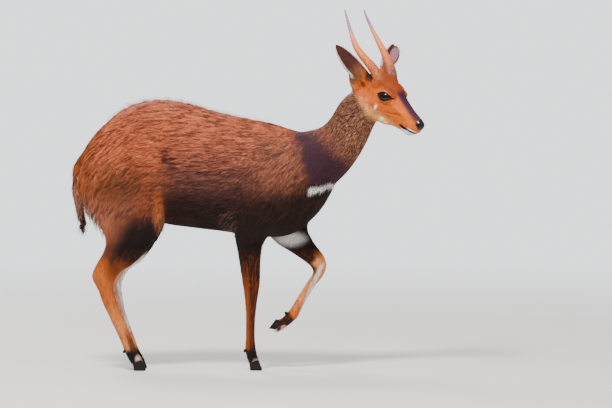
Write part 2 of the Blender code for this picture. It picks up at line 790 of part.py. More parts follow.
def lock(root, normal, lie, sizes, lift, collection):
    """A flat, tapered lock of hair that leaves the skin at a low angle and bends along its lie."""
    length, width, thickness = (size * CM for size in sizes)
    lie = (lie - normal * lie.dot(normal)).normalized()
    across = normal.cross(lie)
    bm = bmesh.new()
    rows = []
    for along, rise, wide, thick in LOCK_PROFILE:
        middle = root + lie * (length * along) + normal * (lift * CM * rise)
        if along == 0.0:
            middle = root - normal * (LOCK_SINK * CM)
        side = across * (width * wide / 2)
        up = normal * (thickness * thick / 2)
        rows.append([bm.verts.new(middle + step) for step in (side, up, -side, -up)])
    for low, high in zip(rows, rows[1:]):
        for k in range(4):
            after = (k + 1) % 4
            bm.faces.new((low[k], low[after], high[after], high[k]))
    bm.faces.new(rows[0])
    tip = bm.verts.new(root + lie * length + normal * (lift * CM))
    for k in range(4):
        bm.faces.new((rows[-1][k], rows[-1][(k + 1) % 4], tip))
    return link_mesh("lock", bm, collection)


def surface_of(thing):
    bm = bmesh.new()
    bm.from_mesh(thing.data)
    tree = BVHTree.FromBMesh(bm)
    bm.free()
    return tree


def vary(sizes, amount):
    factor = 1 + random.uniform(-amount, amount)
    return [sizes[0] * factor, sizes[1] * (2 - factor), sizes[2]]


def crest_locks(tree, collection):
    """Two staggered rows of locks along the back, their tips standing a little off it."""
    made = []
    for row, y in enumerate(CREST_ROWS):
        x = CREST_FROM + CREST_STEP * row / len(CREST_ROWS)
        while x < CREST_TO:
            start = Vector((x, y + random.uniform(-0.25, 0.25), 110)) * CM
            root, normal, *_ = tree.ray_cast(start, Vector((0, 0, -1)))
            taper = min(1.0, 0.62 + 0.06 * min(x - CREST_FROM, CREST_TO - x + 3))
            sizes = vary([size * taper for size in CREST_LOCK], 0.18)
            lie = Vector((-1, 0.12 * (y + random.uniform(-0.8, 0.8)), 0))
            made.append(lock(root, normal, lie, sizes, CREST_LIFT * taper, collection))
            x += CREST_STEP * random.uniform(0.9, 1.1)
    return made


def elbow_locks(tree, side, collection):
    """The tuft under the chest behind the elbow."""
    made = []
    for k in range(ELBOW_LOCKS):
        x = ELBOW_FROM - ELBOW_STEP * k + random.uniform(-0.3, 0.3)
        start = Vector((x, side * (ELBOW_OUT + random.uniform(-0.5, 0.5)), 20)) * CM
        root, normal, *_ = tree.ray_cast(start, Vector((0, 0, 1)))
        lie = Vector((-1, side * 0.1, 0))
        made.append(lock(root, normal, lie, vary(ELBOW_LOCK, 0.15), ELBOW_LIFT, collection))
    return made


def tail_locks(core, collection):
    """Tiers of locks down the tail, each lying over the next and turned out at its tip."""
    tree = surface_of(core)
    rows = curve_through(TAIL, 3)
    made = []
    for tier in range(TAIL_TIERS):
        place = 4 + tier * (len(rows) - 9) / (TAIL_TIERS - 1)
        x, z, width, _ = rows[round(place)]
        below = rows[min(round(place) + 2, len(rows) - 1)]
        lie = Vector((below[0] - x, 0, below[1] - z)).normalized()
        for k in range(TAIL_RING):
            angle = math.radians(180 + 170 * (k / (TAIL_RING - 1) - 0.5) + (tier % 2) * 22 - 11)
            out = Vector((math.cos(angle), math.sin(angle), 0))
            hit, normal, *_ = tree.ray_cast(Vector((x, 0, z)) * CM + out * 12 * CM, -out)
            if hit is None:
                continue
            flat = (normal - lie * normal.dot(lie)).normalized()
            made.append(lock(hit, flat, lie, vary(TAIL_LOCK, 0.15), TAIL_LIFT, collection))
    return made


def node_name(word, side):
    return word + ("_right" if side == RIGHT else "_left")


def paint(thing, name, colour, roughness):
    material = bpy.data.materials.get(name)
    if material is None:
        material = bpy.data.materials.new(name)
        material.use_nodes = True
        shader = material.node_tree.nodes["Principled BSDF"]
        shader.inputs["Base Color"].default_value = (*colour, 1)
        shader.inputs["Roughness"].default_value = roughness
        shader.inputs["Metallic"].default_value = 0.0
        material.diffuse_color = (*colour, 1)
    thing.data.materials.clear()
    thing.data.materials.append(material)


def bend_of(side):
    """How far forward the far hock stands of the near one, by height."""
    if side == RIGHT:
        return lambda z: 0.0
    return lambda z: FAR_HOCK_AHEAD * math.exp(-(((z - FAR_HOCK_AT) / FAR_HOCK_REACH) ** 2))


def in_head(point):
    return head_frame().inverted() @ point


def on_head(point):
    return in_head(point).x > SKULL[0][0] * CM and point.z > FACE_ABOVE


def body_softness(point):
    low = (point.z - SOFTENED_ABOVE) / (SOFTENED_FULLY - SOFTENED_ABOVE)
    softness = min(1.0, max(0.08, low))
    if point.z > FACE_ABOVE:
        softness *= min(1.0, max(0.0, (-3 * CM - in_head(point).x) / (5 * CM)))
    return softness


def flesh_of(collection):
    """The whole body in one smooth skin, without what grows from it."""
    masses = [trunk(collection), limb("neck", NECK, LEFT, 0, collection)]
    masses.append(limb("hind", HIND_LEG, RIGHT, HIND_SHIFT[RIGHT], collection, bend_of(RIGHT)))
    masses.append(limb("hind", HIND_LEG, LEFT, HIND_SHIFT[LEFT], collection, bend_of(LEFT)))
    masses.append(limb("fore", STANDING_FORE_LEG, RIGHT, FORE_SHIFT[RIGHT], collection))
    masses.append(limb("fore", LIFTED_FORE_LEG, LEFT, FORE_SHIFT[LEFT], collection))
    masses.extend(head_masses(collection))
    flesh = join(masses, "flesh")
    remesh(flesh, VOXEL)
    soften(flesh, "body", BODY_SOFTENING, body_softness)
    soften(flesh, "head", HEAD_SOFTENING, lambda point: 1.0 if on_head(point) else 0.0)
    thin_out(flesh, "body", BODY_TRIANGLES, lambda point: not on_head(point))
    thin_out(flesh, "head", HEAD_TRIANGLES, on_head)
    return flesh


def feet(collection):
    """The hooves and dewclaws of the four feet, and the blocks that trim the legs over them."""
    standing_x = STANDING_FOOT_AT[0] + FORE_SHIFT[RIGHT]
    lifted = LIFTED_FOOT_AT
    frames = {
        "fore_right": foot_frame(standing_x, -STANDING_FOOT_AT[1], CORONET, 0),
        "fore_left": foot_frame(lifted[0] + FORE_SHIFT[LEFT], lifted[2], lifted[1], LIFTED_FOOT_TURN),
        "hind_right": foot_frame(HIND_FOOT_AT[0] + HIND_SHIFT[RIGHT], -HIND_FOOT_AT[1], CORONET, 0),
        "hind_left": foot_frame(HIND_FOOT_AT[0] + HIND_SHIFT[LEFT], HIND_FOOT_AT[1], CORONET, 0),
    }
    claws = []
    dewclaws = []
    trims = []
    for leg, frame in frames.items():
        body_side = RIGHT if leg.endswith("right") else LEFT
        for side in (RIGHT, LEFT):
            place = "outer" if side == body_side else "inner"
            claws.append(claw("hoof_" + leg + "_" + place, frame, side, collection))
            name = "dewclaw_" + leg + "_" + place
            dewclaws.append(dewclaw(name, frame, DEWCLAW_AT[leg], side, collection))
        trims.append(foot_trim(frame, collection))
    return claws, dewclaws, trims


def part_the_body(flesh, collection):
    """Cuts the flesh into head, neck, torso and legs, and names each piece by where it lies."""
    sheets = [slab(*CUT_HEAD, collection), slab(*CUT_NECK, collection)]
    for place, turn, size in (CUT_FORE, CUT_HIND):
        for side in (RIGHT, LEFT):
            turned = (turn[0] * side, turn[1], turn[2])
            sheets.append(slab(mirrored(place, side), turned, size, collection))
    cut(flesh, sheets)
    names = {}
    for piece in bodies_of(flesh, BODY_PIECES):
        middle = centre_of(piece)
        side = RIGHT if middle.y < 0 else LEFT
        if middle.z > HEAD_ABOVE:
            name = "head"
        elif middle.z > NECK_ABOVE:
            name = "neck"
        elif middle.z > TORSO_ABOVE:
            name = "torso"
        elif middle.x > FORE_AHEAD_OF:
            name = node_name("leg_fore", side)
        else:
            name = node_name("leg_hind", side)
        names[name] = piece
        piece.name = name
    print("body pieces:", {name: len(piece.data.polygons) for name, piece in names.items()})
    return names


def keep_largest(thing):
    name = thing.name
    largest = bodies_of(thing, 1)[0]
    largest.name = name
    return largest


def main():
    clear_scene()
    random.seed(LOCK_SEED)
    collection = bpy.data.collections.new("bushbuck")
    bpy.context.scene.collection.children.link(collection)

    flesh = flesh_of(collection)
    clearance = inflated(flesh, GAP)
    tree = surface_of(flesh)
    growths = crest_locks(tree, collection)
    for side in (RIGHT, LEFT):
        growths += elbow_locks(tree, side, collection)
        lid = ellipsoid("lid", mirrored(EYE_AT, side), (EYE_RADIUS + LID_THICKNESS,) * 3, collection)
        lid.data.transform(head_frame())
        growths.append(lid)
    unite(flesh, growths)
    print("grown", len(flesh.data.polygons))

    eyes = [eye(side, collection) for side in (RIGHT, LEFT)]
    horns = [horn(side, collection) for side in (RIGHT, LEFT)]
    ears = [ear(side, collection) for side in (RIGHT, LEFT)]
    claws, dewclaws, trims = feet(collection)
    the_tail = tail(collection)
    cut(the_tail, [clearance])
    the_tail = keep_largest(the_tail)
    seats = [inflated(thing, GAP) for thing in eyes + horns + dewclaws]
    seats += [inflated(thing, EAR_GAP) for thing in ears]
    for side in (RIGHT, LEFT):
        seats.append(almond(side, collection))
        seats.append(nostril(side, collection))
        seats.append(mouth_line(side, collection))
    cut(flesh, seats + trims)
    names = part_the_body(flesh, collection)

    for name, piece in names.items():
        paint(piece, "coat_" + name, COAT_COLOURS.get(name, COAT_COLOUR), 0.85)
    for thing in eyes:
        paint(thing, "eye", EYE_COLOUR, 0.1)
    for thing in horns:
        paint(thing, "horn", HORN_COLOUR, 0.5)
    for thing in ears:
        paint(thing, "coat_ear", EAR_COLOUR, 0.85)
    for thing in claws + dewclaws:
        paint(thing, "hoof", HOOF_COLOUR, 0.4)
    paint(the_tail, "coat_tail", COAT_COLOUR, 0.85)

    everything = list(collection.objects)
    points = [vertex.co for thing in everything for vertex in thing.data.vertices]
    low = Vector([min(point[i] for point in points) for i in range(3)])
    high = Vector([max(point[i] for point in points) for i in range(3)])
    move = Vector((-(low.x + high.x) / 2, -(low.y + high.y) / 2, -low.z))
    for thing in everything:
        thing.data.transform(Matrix.Translation(move))
        for face in thing.data.polygons:
            face.use_smooth = True
    print("moved by", [round(value, 5) for value in move])


main()
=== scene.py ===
import math

import bmesh
import bpy
import numpy as np
from mathutils import Matrix, Vector
from mathutils.bvhtree import BVHTree


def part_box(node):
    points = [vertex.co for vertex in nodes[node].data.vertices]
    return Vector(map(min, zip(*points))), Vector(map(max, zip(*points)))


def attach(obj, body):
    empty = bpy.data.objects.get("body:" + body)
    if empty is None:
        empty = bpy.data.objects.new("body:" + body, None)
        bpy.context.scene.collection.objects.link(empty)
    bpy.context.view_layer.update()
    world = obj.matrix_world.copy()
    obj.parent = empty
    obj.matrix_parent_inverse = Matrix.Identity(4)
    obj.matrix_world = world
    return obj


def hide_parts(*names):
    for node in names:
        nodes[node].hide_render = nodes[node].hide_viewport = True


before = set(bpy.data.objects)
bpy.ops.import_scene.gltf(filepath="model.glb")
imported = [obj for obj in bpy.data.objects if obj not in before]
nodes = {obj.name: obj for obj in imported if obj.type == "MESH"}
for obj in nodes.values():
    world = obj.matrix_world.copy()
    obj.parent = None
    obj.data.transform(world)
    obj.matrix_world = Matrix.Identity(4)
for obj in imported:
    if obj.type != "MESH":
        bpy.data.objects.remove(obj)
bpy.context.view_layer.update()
cm = 0.01
mm = 0.001
rng = np.random.default_rng(11)

# where the head sits: its own axes run to the nose, to the left ear and up
headPose = {"turn": -40, "dip": 33, "eyesAhead": 0.1, "inBody": (47.6, -5.4, 91.7)}


def middleOf(name):
    low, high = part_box(name)
    return (low + high) / 2


headTurn = Matrix.Rotation(math.radians(headPose["turn"]), 4, "Z")
headTurn = headTurn @ Matrix.Rotation(math.radians(headPose["dip"]), 4, "Y")
headAt = (middleOf("eye_right") + middleOf("eye_left")) / 2
headAt = headAt - headTurn.to_3x3() @ Vector((headPose["eyesAhead"] * cm, 0, 0))
headAxes = np.array(headTurn.to_3x3())
bodyAt = np.array(headAt) - np.array(headPose["inBody"]) * cm


# body places are in centimetres from the floor under the withers, head places from between the eyes
def inBody(points):
    return (points - bodyAt) / cm


def fromBody(points):
    return np.asarray(points, float) * cm + bodyAt


def inHead(points):
    return (points - np.array(headAt)) @ headAxes / cm


def fromHead(points):
    return np.asarray(points, float) * cm @ headAxes.T + np.array(headAt)


# the cut that parts neck and head: a body place on it and the way to the head
neckEnd = {"at": (38.3, -3.0, 88.0), "towards": (0.803, -0.324, 0.5)}


def beyondNeck(points):
    # centimetres past the cut, on the head's side
    return (inBody(points) - np.array(neckEnd["at"])) @ np.array(neckEnd["towards"])


def unit(vectors):
    return vectors / np.maximum(np.linalg.norm(vectors, axis=-1, keepdims=True), 1e-9)


def smoothStep(values, low, high):
    t = np.clip((values - low) / (high - low), 0, 1)
    return t * t * (3 - 2 * t)


def pointsOf(thing):
    points = np.empty(len(thing.data.vertices) * 3, np.float32)
    thing.data.vertices.foreach_get("co", points)
    return points.reshape(-1, 3).astype(float)


def normalsOf(thing):
    normals = np.empty(len(thing.data.vertices) * 3, np.float32)
    thing.data.vertex_normals.foreach_get("vector", normals)
    return normals.reshape(-1, 3).astype(float)


def movePoints(thing, points):
    thing.data.vertices.foreach_set("co", points.astype(np.float32).ravel())
    thing.data.update()


def activate(thing):
    bpy.ops.object.select_all(action="DESELECT")
    thing.select_set(True)
    bpy.context.view_layer.objects.active = thing


def applyModifiers(thing):
    activate(thing)
    for modifier in list(thing.modifiers):
        bpy.ops.object.modifier_apply(modifier=modifier.name)


def mergeDoubles(thing, distance=1e-5):
    activate(thing)
    bpy.ops.object.mode_set(mode="EDIT")
    bpy.ops.mesh.select_all(action="SELECT")
    bpy.ops.mesh.remove_doubles(threshold=distance)
    bpy.ops.mesh.normals_make_consistent(inside=False)
    bpy.ops.object.mode_set(mode="OBJECT")


def copyOfNodes(names, name, swell=0.0):
    # one merged copy of some CAD nodes, swollen a little so that neighbours meet
    copies = []
    for node in names:
        piece = bpy.data.objects.new(name, nodes[node].data.copy())
        bpy.context.scene.collection.objects.link(piece)
        piece.data.materials.clear()
        mergeDoubles(piece)
        if swell:
            movePoints(piece, pointsOf(piece) + normalsOf(piece) * swell)
        copies.append(piece)
    activate(copies[0])
    for piece in copies:
        piece.select_set(True)
    if len(copies) > 1:
        bpy.ops.object.join()
    copies[0].name = name
    return copies[0]


def smoothShade(thing):
    thing.data.polygons.foreach_set("use_smooth", np.ones(len(thing.data.polygons), bool))
    thing.data.update()


def weighVertices(thing, name, weights):
    group = thing.vertex_groups.new(name=name)
    levels = np.round(weights * 16).astype(int)
    for level in range(1, 17):
        found = np.nonzero(levels == level)[0]
        if len(found):
            group.add(found.tolist(), level / 16, "REPLACE")


def voxelRemesh(thing, size):
    modifier = thing.modifiers.new("Remesh", "REMESH")
    modifier.mode = "VOXEL"
    modifier.voxel_size = size
    applyModifiers(thing)


def soften(thing, weights, steps):
    weighVertices(thing, "soft", weights)
    modifier = thing.modifiers.new("Soften", "SMOOTH")
    modifier.factor = 0.5
    modifier.iterations = steps
    modifier.vertex_group = "soft"
    applyModifiers(thing)
    thing.vertex_groups.clear()


def thinOut(thing, chosen, share):
    weighVertices(thing, "thin", chosen.astype(float))
    modifier = thing.modifiers.new("Thin", "DECIMATE")
    modifier.ratio = max(0.02, 1 - chosen.mean() * (1 - share))
    modifier.vertex_group = "thin"
    modifier.vertex_group_factor = 1.0
    applyModifiers(thing)
    thing.vertex_groups.clear()


# guides: place, lie, length and depth of the coat; used on both sides unless y is 0 or it is a foreleg's
coatGuides = {
    "trunk": [
        ((-55, 0, 72), (-0.5, 0, -0.86), 2.8, 0.5), ((-50, 5, 80), (-0.8, 0, -0.6), 2.7, 0.5),
        ((-40, 6, 88), (-1, 0, -0.2), 2.6, 0.5), ((-25, 6, 89), (-1, 0, -0.03), 2.6, 0.5),
        ((-10, 6, 86), (-1, 0, 0), 2.6, 0.5), ((5, 6, 82), (-1, 0, 0), 2.5, 0.45),
        ((14, 4, 79), (-0.95, 0, -0.25), 2.2, 0.4), ((-52, 9, 68), (-0.45, 0, -0.9), 3.0, 0.5),
        ((-45, 11, 73), (-0.75, 0, -0.62), 2.8, 0.5), ((-33, 11.5, 75), (-0.96, 0, -0.28), 2.6, 0.5),
        ((-20, 12.5, 72), (-1, 0, -0.1), 2.6, 0.5), ((-5, 12, 70), (-0.97, 0, -0.22), 2.6, 0.5),
        ((8, 10.5, 72), (-0.8, 0, -0.6), 2.3, 0.4), ((-41, 10.5, 60), (-0.68, 0, -0.72), 2.8, 0.5),
        ((-30, 11, 60), (-0.8, 0, -0.6), 2.7, 0.5), ((-19, 12, 58), (-1, 0, -0.12), 2.7, 0.5),
        ((-8, 11.5, 57), (-0.98, 0, -0.2), 2.7, 0.5), ((4, 10, 60), (-0.62, 0, -0.78), 2.4, 0.4),
        ((14, 8.5, 62), (-0.45, 0, -0.9), 2.2, 0.4), ((-20, 4, 48), (-1, 0, 0), 2.8, 0.45),
        ((-8, 4, 46), (-1, 0, 0), 2.8, 0.45), ((3, 4, 45), (-1, 0, 0), 2.4, 0.4),
        ((22, 4, 60), (-0.35, 0, -0.94), 2.3, 0.4), ((26, 0, 64), (-0.25, 0, -0.97), 2.3, 0.4),
        ((14, 3, 48), (-0.85, 0, -0.5), 2.3, 0.4), ((-56, 5, 62), (-0.12, 0, -1), 3.4, 0.55),
        ((-53, 7, 54), (0.1, 0, -1), 3.2, 0.5), ((0, 10, 50), (-0.35, 0, -0.93), 2.4, 0.4),
    ],
    "hind leg": [
        ((-38, 10, 52), (-0.5, 0, -0.86), 2.4, 0.4), ((-38, 9, 45), (-0.6, 0, -0.8), 2.0, 0.3),
        ((-50, 6, 46), (0.05, 0, -1), 2.4, 0.35), ((-44, 8.5, 38), (-0.6, 0, -0.8), 1.5, 0.22),
        ((-49, 7, 31), (-0.1, 0, -1), 1.1, 0.15), ((-47, 6, 22), (0.35, 0, -0.94), 1.1, 0.13),
        ((-43, 5.5, 13), (0.38, 0, -0.92), 1.1, 0.13), ((-40, 5, 6), (0.3, 0, -0.95), 0.9, 0.13),
        ((-38, 5, 3), (0.5, 0, -0.87), 0.8, 0.12),
    ],
    "standing foreleg": [
        ((5, -7.5, 47), (-0.2, 0, -0.98), 2.0, 0.3), ((0, -6, 40), (-0.04, 0, -1), 1.4, 0.2),
        ((0, -4, 27), (0, 0, -1), 1.1, 0.13), ((0, -3, 15), (0, 0, -1), 1.1, 0.13),
        ((0, -2, 6), (0.1, 0, -1), 0.9, 0.13), ((1, -2, 3), (0.35, 0, -0.94), 0.8, 0.12),
    ],
    "lifted foreleg": [
        ((12, 7.5, 49), (0.1, 0, -1), 2.0, 0.3), ((16, 6.5, 43), (0.6, 0, -0.8), 1.6, 0.22),
        ((21, 5.5, 38), (0.72, 0, -0.68), 1.2, 0.15), ((24, 5, 34), (-0.1, 0, -1), 1.0, 0.13),
        ((20, 5, 27), (-0.55, 0, -0.83), 1.1, 0.13), ((17, 4.7, 21), (-0.55, 0, -0.83), 1.1, 0.13),
        ((14, 4.5, 16), (-0.7, 0, -0.6), 0.9, 0.13), ((11, 4.5, 14.5), (-0.86, 0, -0.45), 0.8, 0.12),
    ],
    "neck": [
        ((17, 7, 72), (-0.35, 0, -0.93), 1.2, 0.2), ((24, 7, 75), (-0.45, 0, -0.9), 1.1, 0.18),
        ((30, 6, 80), (-0.58, 0, -0.8), 1.6, 0.28), ((36, 5, 87), (-0.65, 0, -0.76), 1.7, 0.28),
        ((25, 0, 82), (-0.75, 0, -0.65), 1.5, 0.25), ((34, 0, 93), (-0.8, 0, -0.6), 1.6, 0.25),
        ((30, 0, 67), (-0.42, 0, -0.9), 1.6, 0.28), ((40, 0, 78), (-0.55, 0, -0.83), 1.8, 0.3),
        ((44, -3, 84), (-0.75, 0, -0.66), 1.5, 0.25),
    ],
    "tail": [
        ((-57.5, 0, 66), (-0.12, 0, -1), 3.2, 0.5), ((-57.5, 0, 58), (0, 0, -1), 3.2, 0.5),
        ((-56, 0, 50), (0.12, 0, -1), 3.2, 0.5),
    ],
}
headGuides = [
    ((16.5, 0, 0), (-1, 0, 0.3), 0.3, 0.03), ((12, 0, 1), (-1, 0, 0.12), 0.45, 0.05),
    ((8, 0, 1.9), (-1, 0, 0.2), 0.5, 0.06), ((3, 0, 3.4), (-1, 0, 0.35), 0.7, 0.08),
    ((-3, 0, 4.8), (-1, 0, 0.2), 1.0, 0.12), ((13.5, 2, -3), (-1, 0, -0.1), 0.4, 0.05),
    ((9, 2.4, -3), (-1, 0, -0.1), 0.55, 0.06), ((4, 3.2, -4), (-1, 0, -0.15), 0.7, 0.08),
    ((-2, 4.3, -4), (-1, 0, -0.25), 0.9, 0.1), ((-7.5, 4.3, -4), (-0.9, 0, -0.45), 1.2, 0.14),
    ((8, 0, -7.6), (-1, 0, 0), 0.8, 0.08), ((0, 0, -9.5), (-1, 0, -0.1), 1.1, 0.1),
    ((-7, 0, -8.5), (-0.9, 0, -0.5), 1.4, 0.16), ((2.8, 3.5, 1.6), (-0.85, 0, 0.5), 0.4, 0.04),
    ((-2.6, 4.1, 1.4), (-1, 0, 0.2), 0.45, 0.05), ((3.4, 3.4, -1.8), (-0.9, 0, -0.4), 0.4, 0.04),
    ((-1, 4.6, -2.6), (-0.95, 0, -0.3), 0.5, 0.05), ((0, 3.4, 3.0), (-1, 0, 0.3), 0.5, 0.06),
    ((-8, 0, 4.4), (-0.95, 0, -0.1), 1.3, 0.14), ((-9, 4, -1), (-0.9, 0, -0.35), 1.1, 0.12),
]
earGuides = {
    "root": (-8.6, 4.4, 1.0), "length": 0.75, "depth": 0.02,
    "spine": [(-1.2, 0.9, 0.3), (-4.4, 3.8, 1.9), (-7.4, 6.6, 3.9), (-10, 9.2, 5.9)],
}


def gatherGuides():
    places, lies, lengths, depths = [], [], [], []

    def keep(place, lie, length, depth):
        places.append(place)
        lies.append(lie)
        lengths.append(length)
        depths.append(depth)

    for part, rows in coatGuides.items():
        for place, lie, length, depth in rows:
            for side in (1, -1):
                if side < 0 and (place[1] == 0 or part.endswith("foreleg")):
                    continue
                keep(fromBody((place[0], place[1] * side, place[2])), lie, length, depth)
    for place, lie, length, depth in headGuides:
        for side in (1, -1):
            if side < 0 and place[1] == 0:
                continue
            keep(fromHead((place[0], place[1] * side, place[2])), headAxes @ np.array(lie), length, depth)
    root = np.array(earGuides["root"])
    spine = np.array(earGuides["spine"])
    for side in (1, -1):
        flip = np.array((1, side, 1))
        for k, place in enumerate(spine):
            lie = headAxes @ ((spine[min(k + 1, 3)] - spine[max(k - 1, 0)]) * flip)
            keep(fromHead((root + place) * flip), lie, earGuides["length"], earGuides["depth"])
    return np.array(places), unit(np.array(lies)), np.array(lengths), np.array(depths)


guidePlaces, guideLies, guideLengths, guideDepths = gatherGuides()


def coatAt(points):
    # lie, length (m) and depth (m) of the coat at each point, from the guides around it
    lies = np.empty_like(points)
    sizes = np.empty((len(points), 2))
    for start in range(0, len(points), 20000):
        part = points[start:start + 20000]
        gap = ((part[:, None] - guidePlaces[None]) ** 2).sum(2) / cm ** 2
        weight = 1 / (gap + 2.0) ** 2.2
        weight /= weight.sum(1, keepdims=True)
        lies[start:start + 20000] = weight @ guideLies
        sizes[start:start + 20000, 0] = weight @ guideLengths * cm
        sizes[start:start + 20000, 1] = weight @ guideDepths * cm
    return unit(lies), sizes[:, 0], sizes[:, 1]


eyeValues = {
    "centre": (0.1, 3.0, 0.0), "facing": (0.25, 0.963, 0.1), "slant": 20,
    "radius": 2.15, "radii": (2.8, 2.0, 2.15), "lid": 0.17, "hollow": 0.34,
    "half": 3.2, "above": 1.42, "below": 1.3,
    "cornea": 0.045, "iris": (0.66, 0.72), "pupil": (0.44, 0.22),
    "corners": ([(2.3, -0.1), (3.0, -0.25), (3.7, -0.3)], [(-2.2, 0.0), (-3.0, 0.2)]),
}


def eyeAxes(side):
    # along the slit to the nose, up across it, and out of the eye
    facing = unit(np.array(eyeValues["facing"]) * (1, side, 1))
    slant = math.radians(eyeValues["slant"])
    along = np.array((math.cos(slant), 0, math.sin(slant)))
    along = unit(along - facing * (along @ facing))
    up = np.cross(facing, along)
    return np.array((along, up if up[2] > 0 else -up, facing))


def eyeField(head, side):
    # in cm: out from the eyeball's middle, along and up over the eyeball, and how far outside the opening
    away = head - np.array(eyeValues["centre"]) * (1, side, 1)
    radii = np.array(eyeValues["radii"])
    scaled = away @ eyeAxes(side).T / radii
    reach = np.linalg.norm(scaled, axis=1) * eyeValues["radius"]
    ahead = np.maximum(scaled[:, 2], 1e-3)
    a = radii[0] * np.arctan2(scaled[:, 0], ahead)
    b = radii[1] * np.arctan2(scaled[:, 1], ahead)
    half = eyeValues["half"]
    t = np.clip((a + half) / (2 * half), 0, 1)
    upper = eyeValues["above"] * np.sin(np.pi * t ** 0.72) ** 0.75
    lower = eyeValues["below"] * np.sin(np.pi * t ** 0.85) ** 0.85
    outside = np.where(b >= 0, b - upper, -b - lower) * 0.85
    outside = np.where(np.abs(a) > half, np.hypot(np.abs(a) - half, b), outside)
    outside = np.where(scaled[:, 2] < 0.05, 9, outside)
    return reach, a, b, outside


# the ear's spine from its root, with half its width, and the way that its cup opens on each side
earValues = {
    "root": (-8.6, 4.4, 1.0),
    "opens": {-1: (-0.7, -0.45, -0.45), 1: (-0.5, -0.05, -0.8)},
    "spine": [
        (0.6, -0.9, -0.7, 1.5), (-1.2, 0.9, 0.3, 2.2), (-3.2, 2.8, 1.2, 2.7), (-5.4, 4.8, 2.5, 2.8),
        (-7.4, 6.6, 3.9, 2.4), (-9.2, 8.3, 5.2, 1.7), (-10.3, 9.4, 6.1, 0.95), (-10.9, 9.9, 6.6, 0.35),
    ],
}


def earField(head, side):
    # how far along the ear (0 to 1) and across it (-1 to 1), its own axes, and how far from its spine
    rows = np.array(earValues["spine"])
    steps = np.linspace(0, len(rows) - 1, 57)
    rows = np.column_stack([np.interp(steps, np.arange(len(rows)), rows[:, k]) for k in range(4)])
    spine = rows[:, :3] + np.array(earValues["root"])
    alongs = unit(np.gradient(spine, axis=0))
    opens = unit(np.array(earValues["opens"][side], float))
    facings = unit(opens - alongs * (alongs @ opens)[:, None])
    acrosses = np.cross(alongs, facings)
    flip = np.array((1, side, 1))
    points = head * flip
    parts = np.array_split(points, max(1, len(points) // 20000))
    nearest = np.concatenate([((part[:, None] - spine[None]) ** 2).sum(2).argmin(1) for part in parts])
    away = points - spine[nearest]
    level = nearest / (len(rows) - 1)
    across = (away * acrosses[nearest]).sum(1) / rows[nearest, 3]
    axes = [ways[nearest] * flip for ways in (alongs, facings, acrosses)]
    return level, across, *axes, np.linalg.norm(away, axis=1)


fleshNodes = [
    "torso", "neck", "head", "tail",
    "leg_fore_right", "leg_fore_left", "leg_hind_right", "leg_hind_left",
]
earNodes = ["ear_right", "ear_left"]
skinValues = {
    "swell": 0.35 * mm, "headSwell": 1.3, "headUnder": 3 * mm, "bodyVoxel": 3.6 * mm, "voxel": 2.4 * mm,
    "bodySmoothing": 90, "joinSmoothing": 70, "headSmoothing": 6, "bodyShare": 0.22,
}
# swellings that the head's skin takes in: place, half sizes, the way the last half size points, and sides
headSwells = [
    ((-11.4, 6.5, -1.9), (2.0, 2.2, 3.9), (-0.5, 0.35, 0.8), (1, -1)),      # the ear's fleshy base
    ((-10.2, 5.3, -4.6), (1.7, 1.9, 2.6), (-0.2, 0.2, 1), (1, -1)),
    ((-12.5, 6.8, -0.7), (1.6, 1.7, 2.8), (-0.55, 0.45, 0.7), (1, -1)),
    ((-5.1, 3.05, 1.9), (2.5, 2.5, 2.55), (-0.75, 0.27, 0.6), (1, -1)),     # the furred foot of the horn
    ((-0.6, 2.3, 2.6), (1.4, 1.5, 2.8), (1, 0, -0.1), (1,)),        # the far brow
    ((0.8, 1.2, -8.1), (1.9, 1.7, 4.8), (1, 0, 0.16), (1, -1)),     # the jaw's lower edge
]
# the far ear's broad side, which the photo shows open
farEar = {
    "place": (-15.3, 11.7, 5.7), "sizes": (2.0, 0.42, 4.8),
    "along": (-0.66, 0.62, 0.42), "across": (0.74, 0.63, 0.235),
}


def onHead(points):
    # 1 on the head, falling to 0 past the cut to the neck
    return smoothStep(beyondNeck(points), -0.6, 1.4)


def addShell(place, sizes, axes, side):
    # an egg-shaped shell at a head place, with its half sizes along the axes
    bpy.ops.object.select_all(action="DESELECT")
    bpy.ops.mesh.primitive_uv_sphere_add(segments=40, ring_count=24, radius=1)
    shell = bpy.context.object
    middle = np.array(place) * (1, side, 1)
    movePoints(shell, fromHead(middle + (pointsOf(shell) * np.array(sizes)) @ axes))
    mergeDoubles(shell)
    return shell


def swellHead():
    # the swellings, the far ear's broad side and the closed lids, as loose shells that the remesh takes in
    shells = []
    for place, sizes, way, sides in headSwells:
        for side in sides:
            up = unit(np.array(way, float) * (1, side, 1))
            first = unit(np.cross((0, 1.0, 0.2), up))
            shells.append(addShell(place, sizes, np.array((first, np.cross(up, first), up)), side))
    up = unit(np.array(farEar["along"]))
    first = np.array(farEar["across"])
    shells.append(addShell(farEar["place"], farEar["sizes"], np.array((first, np.cross(up, first), up)), 1))
    lids = np.array(eyeValues["radii"]) * (1 + eyeValues["lid"] / eyeValues["radius"])
    for side in (1, -1):
        shells.append(addShell(eyeValues["centre"], lids, eyeAxes(side), side))
    return shells


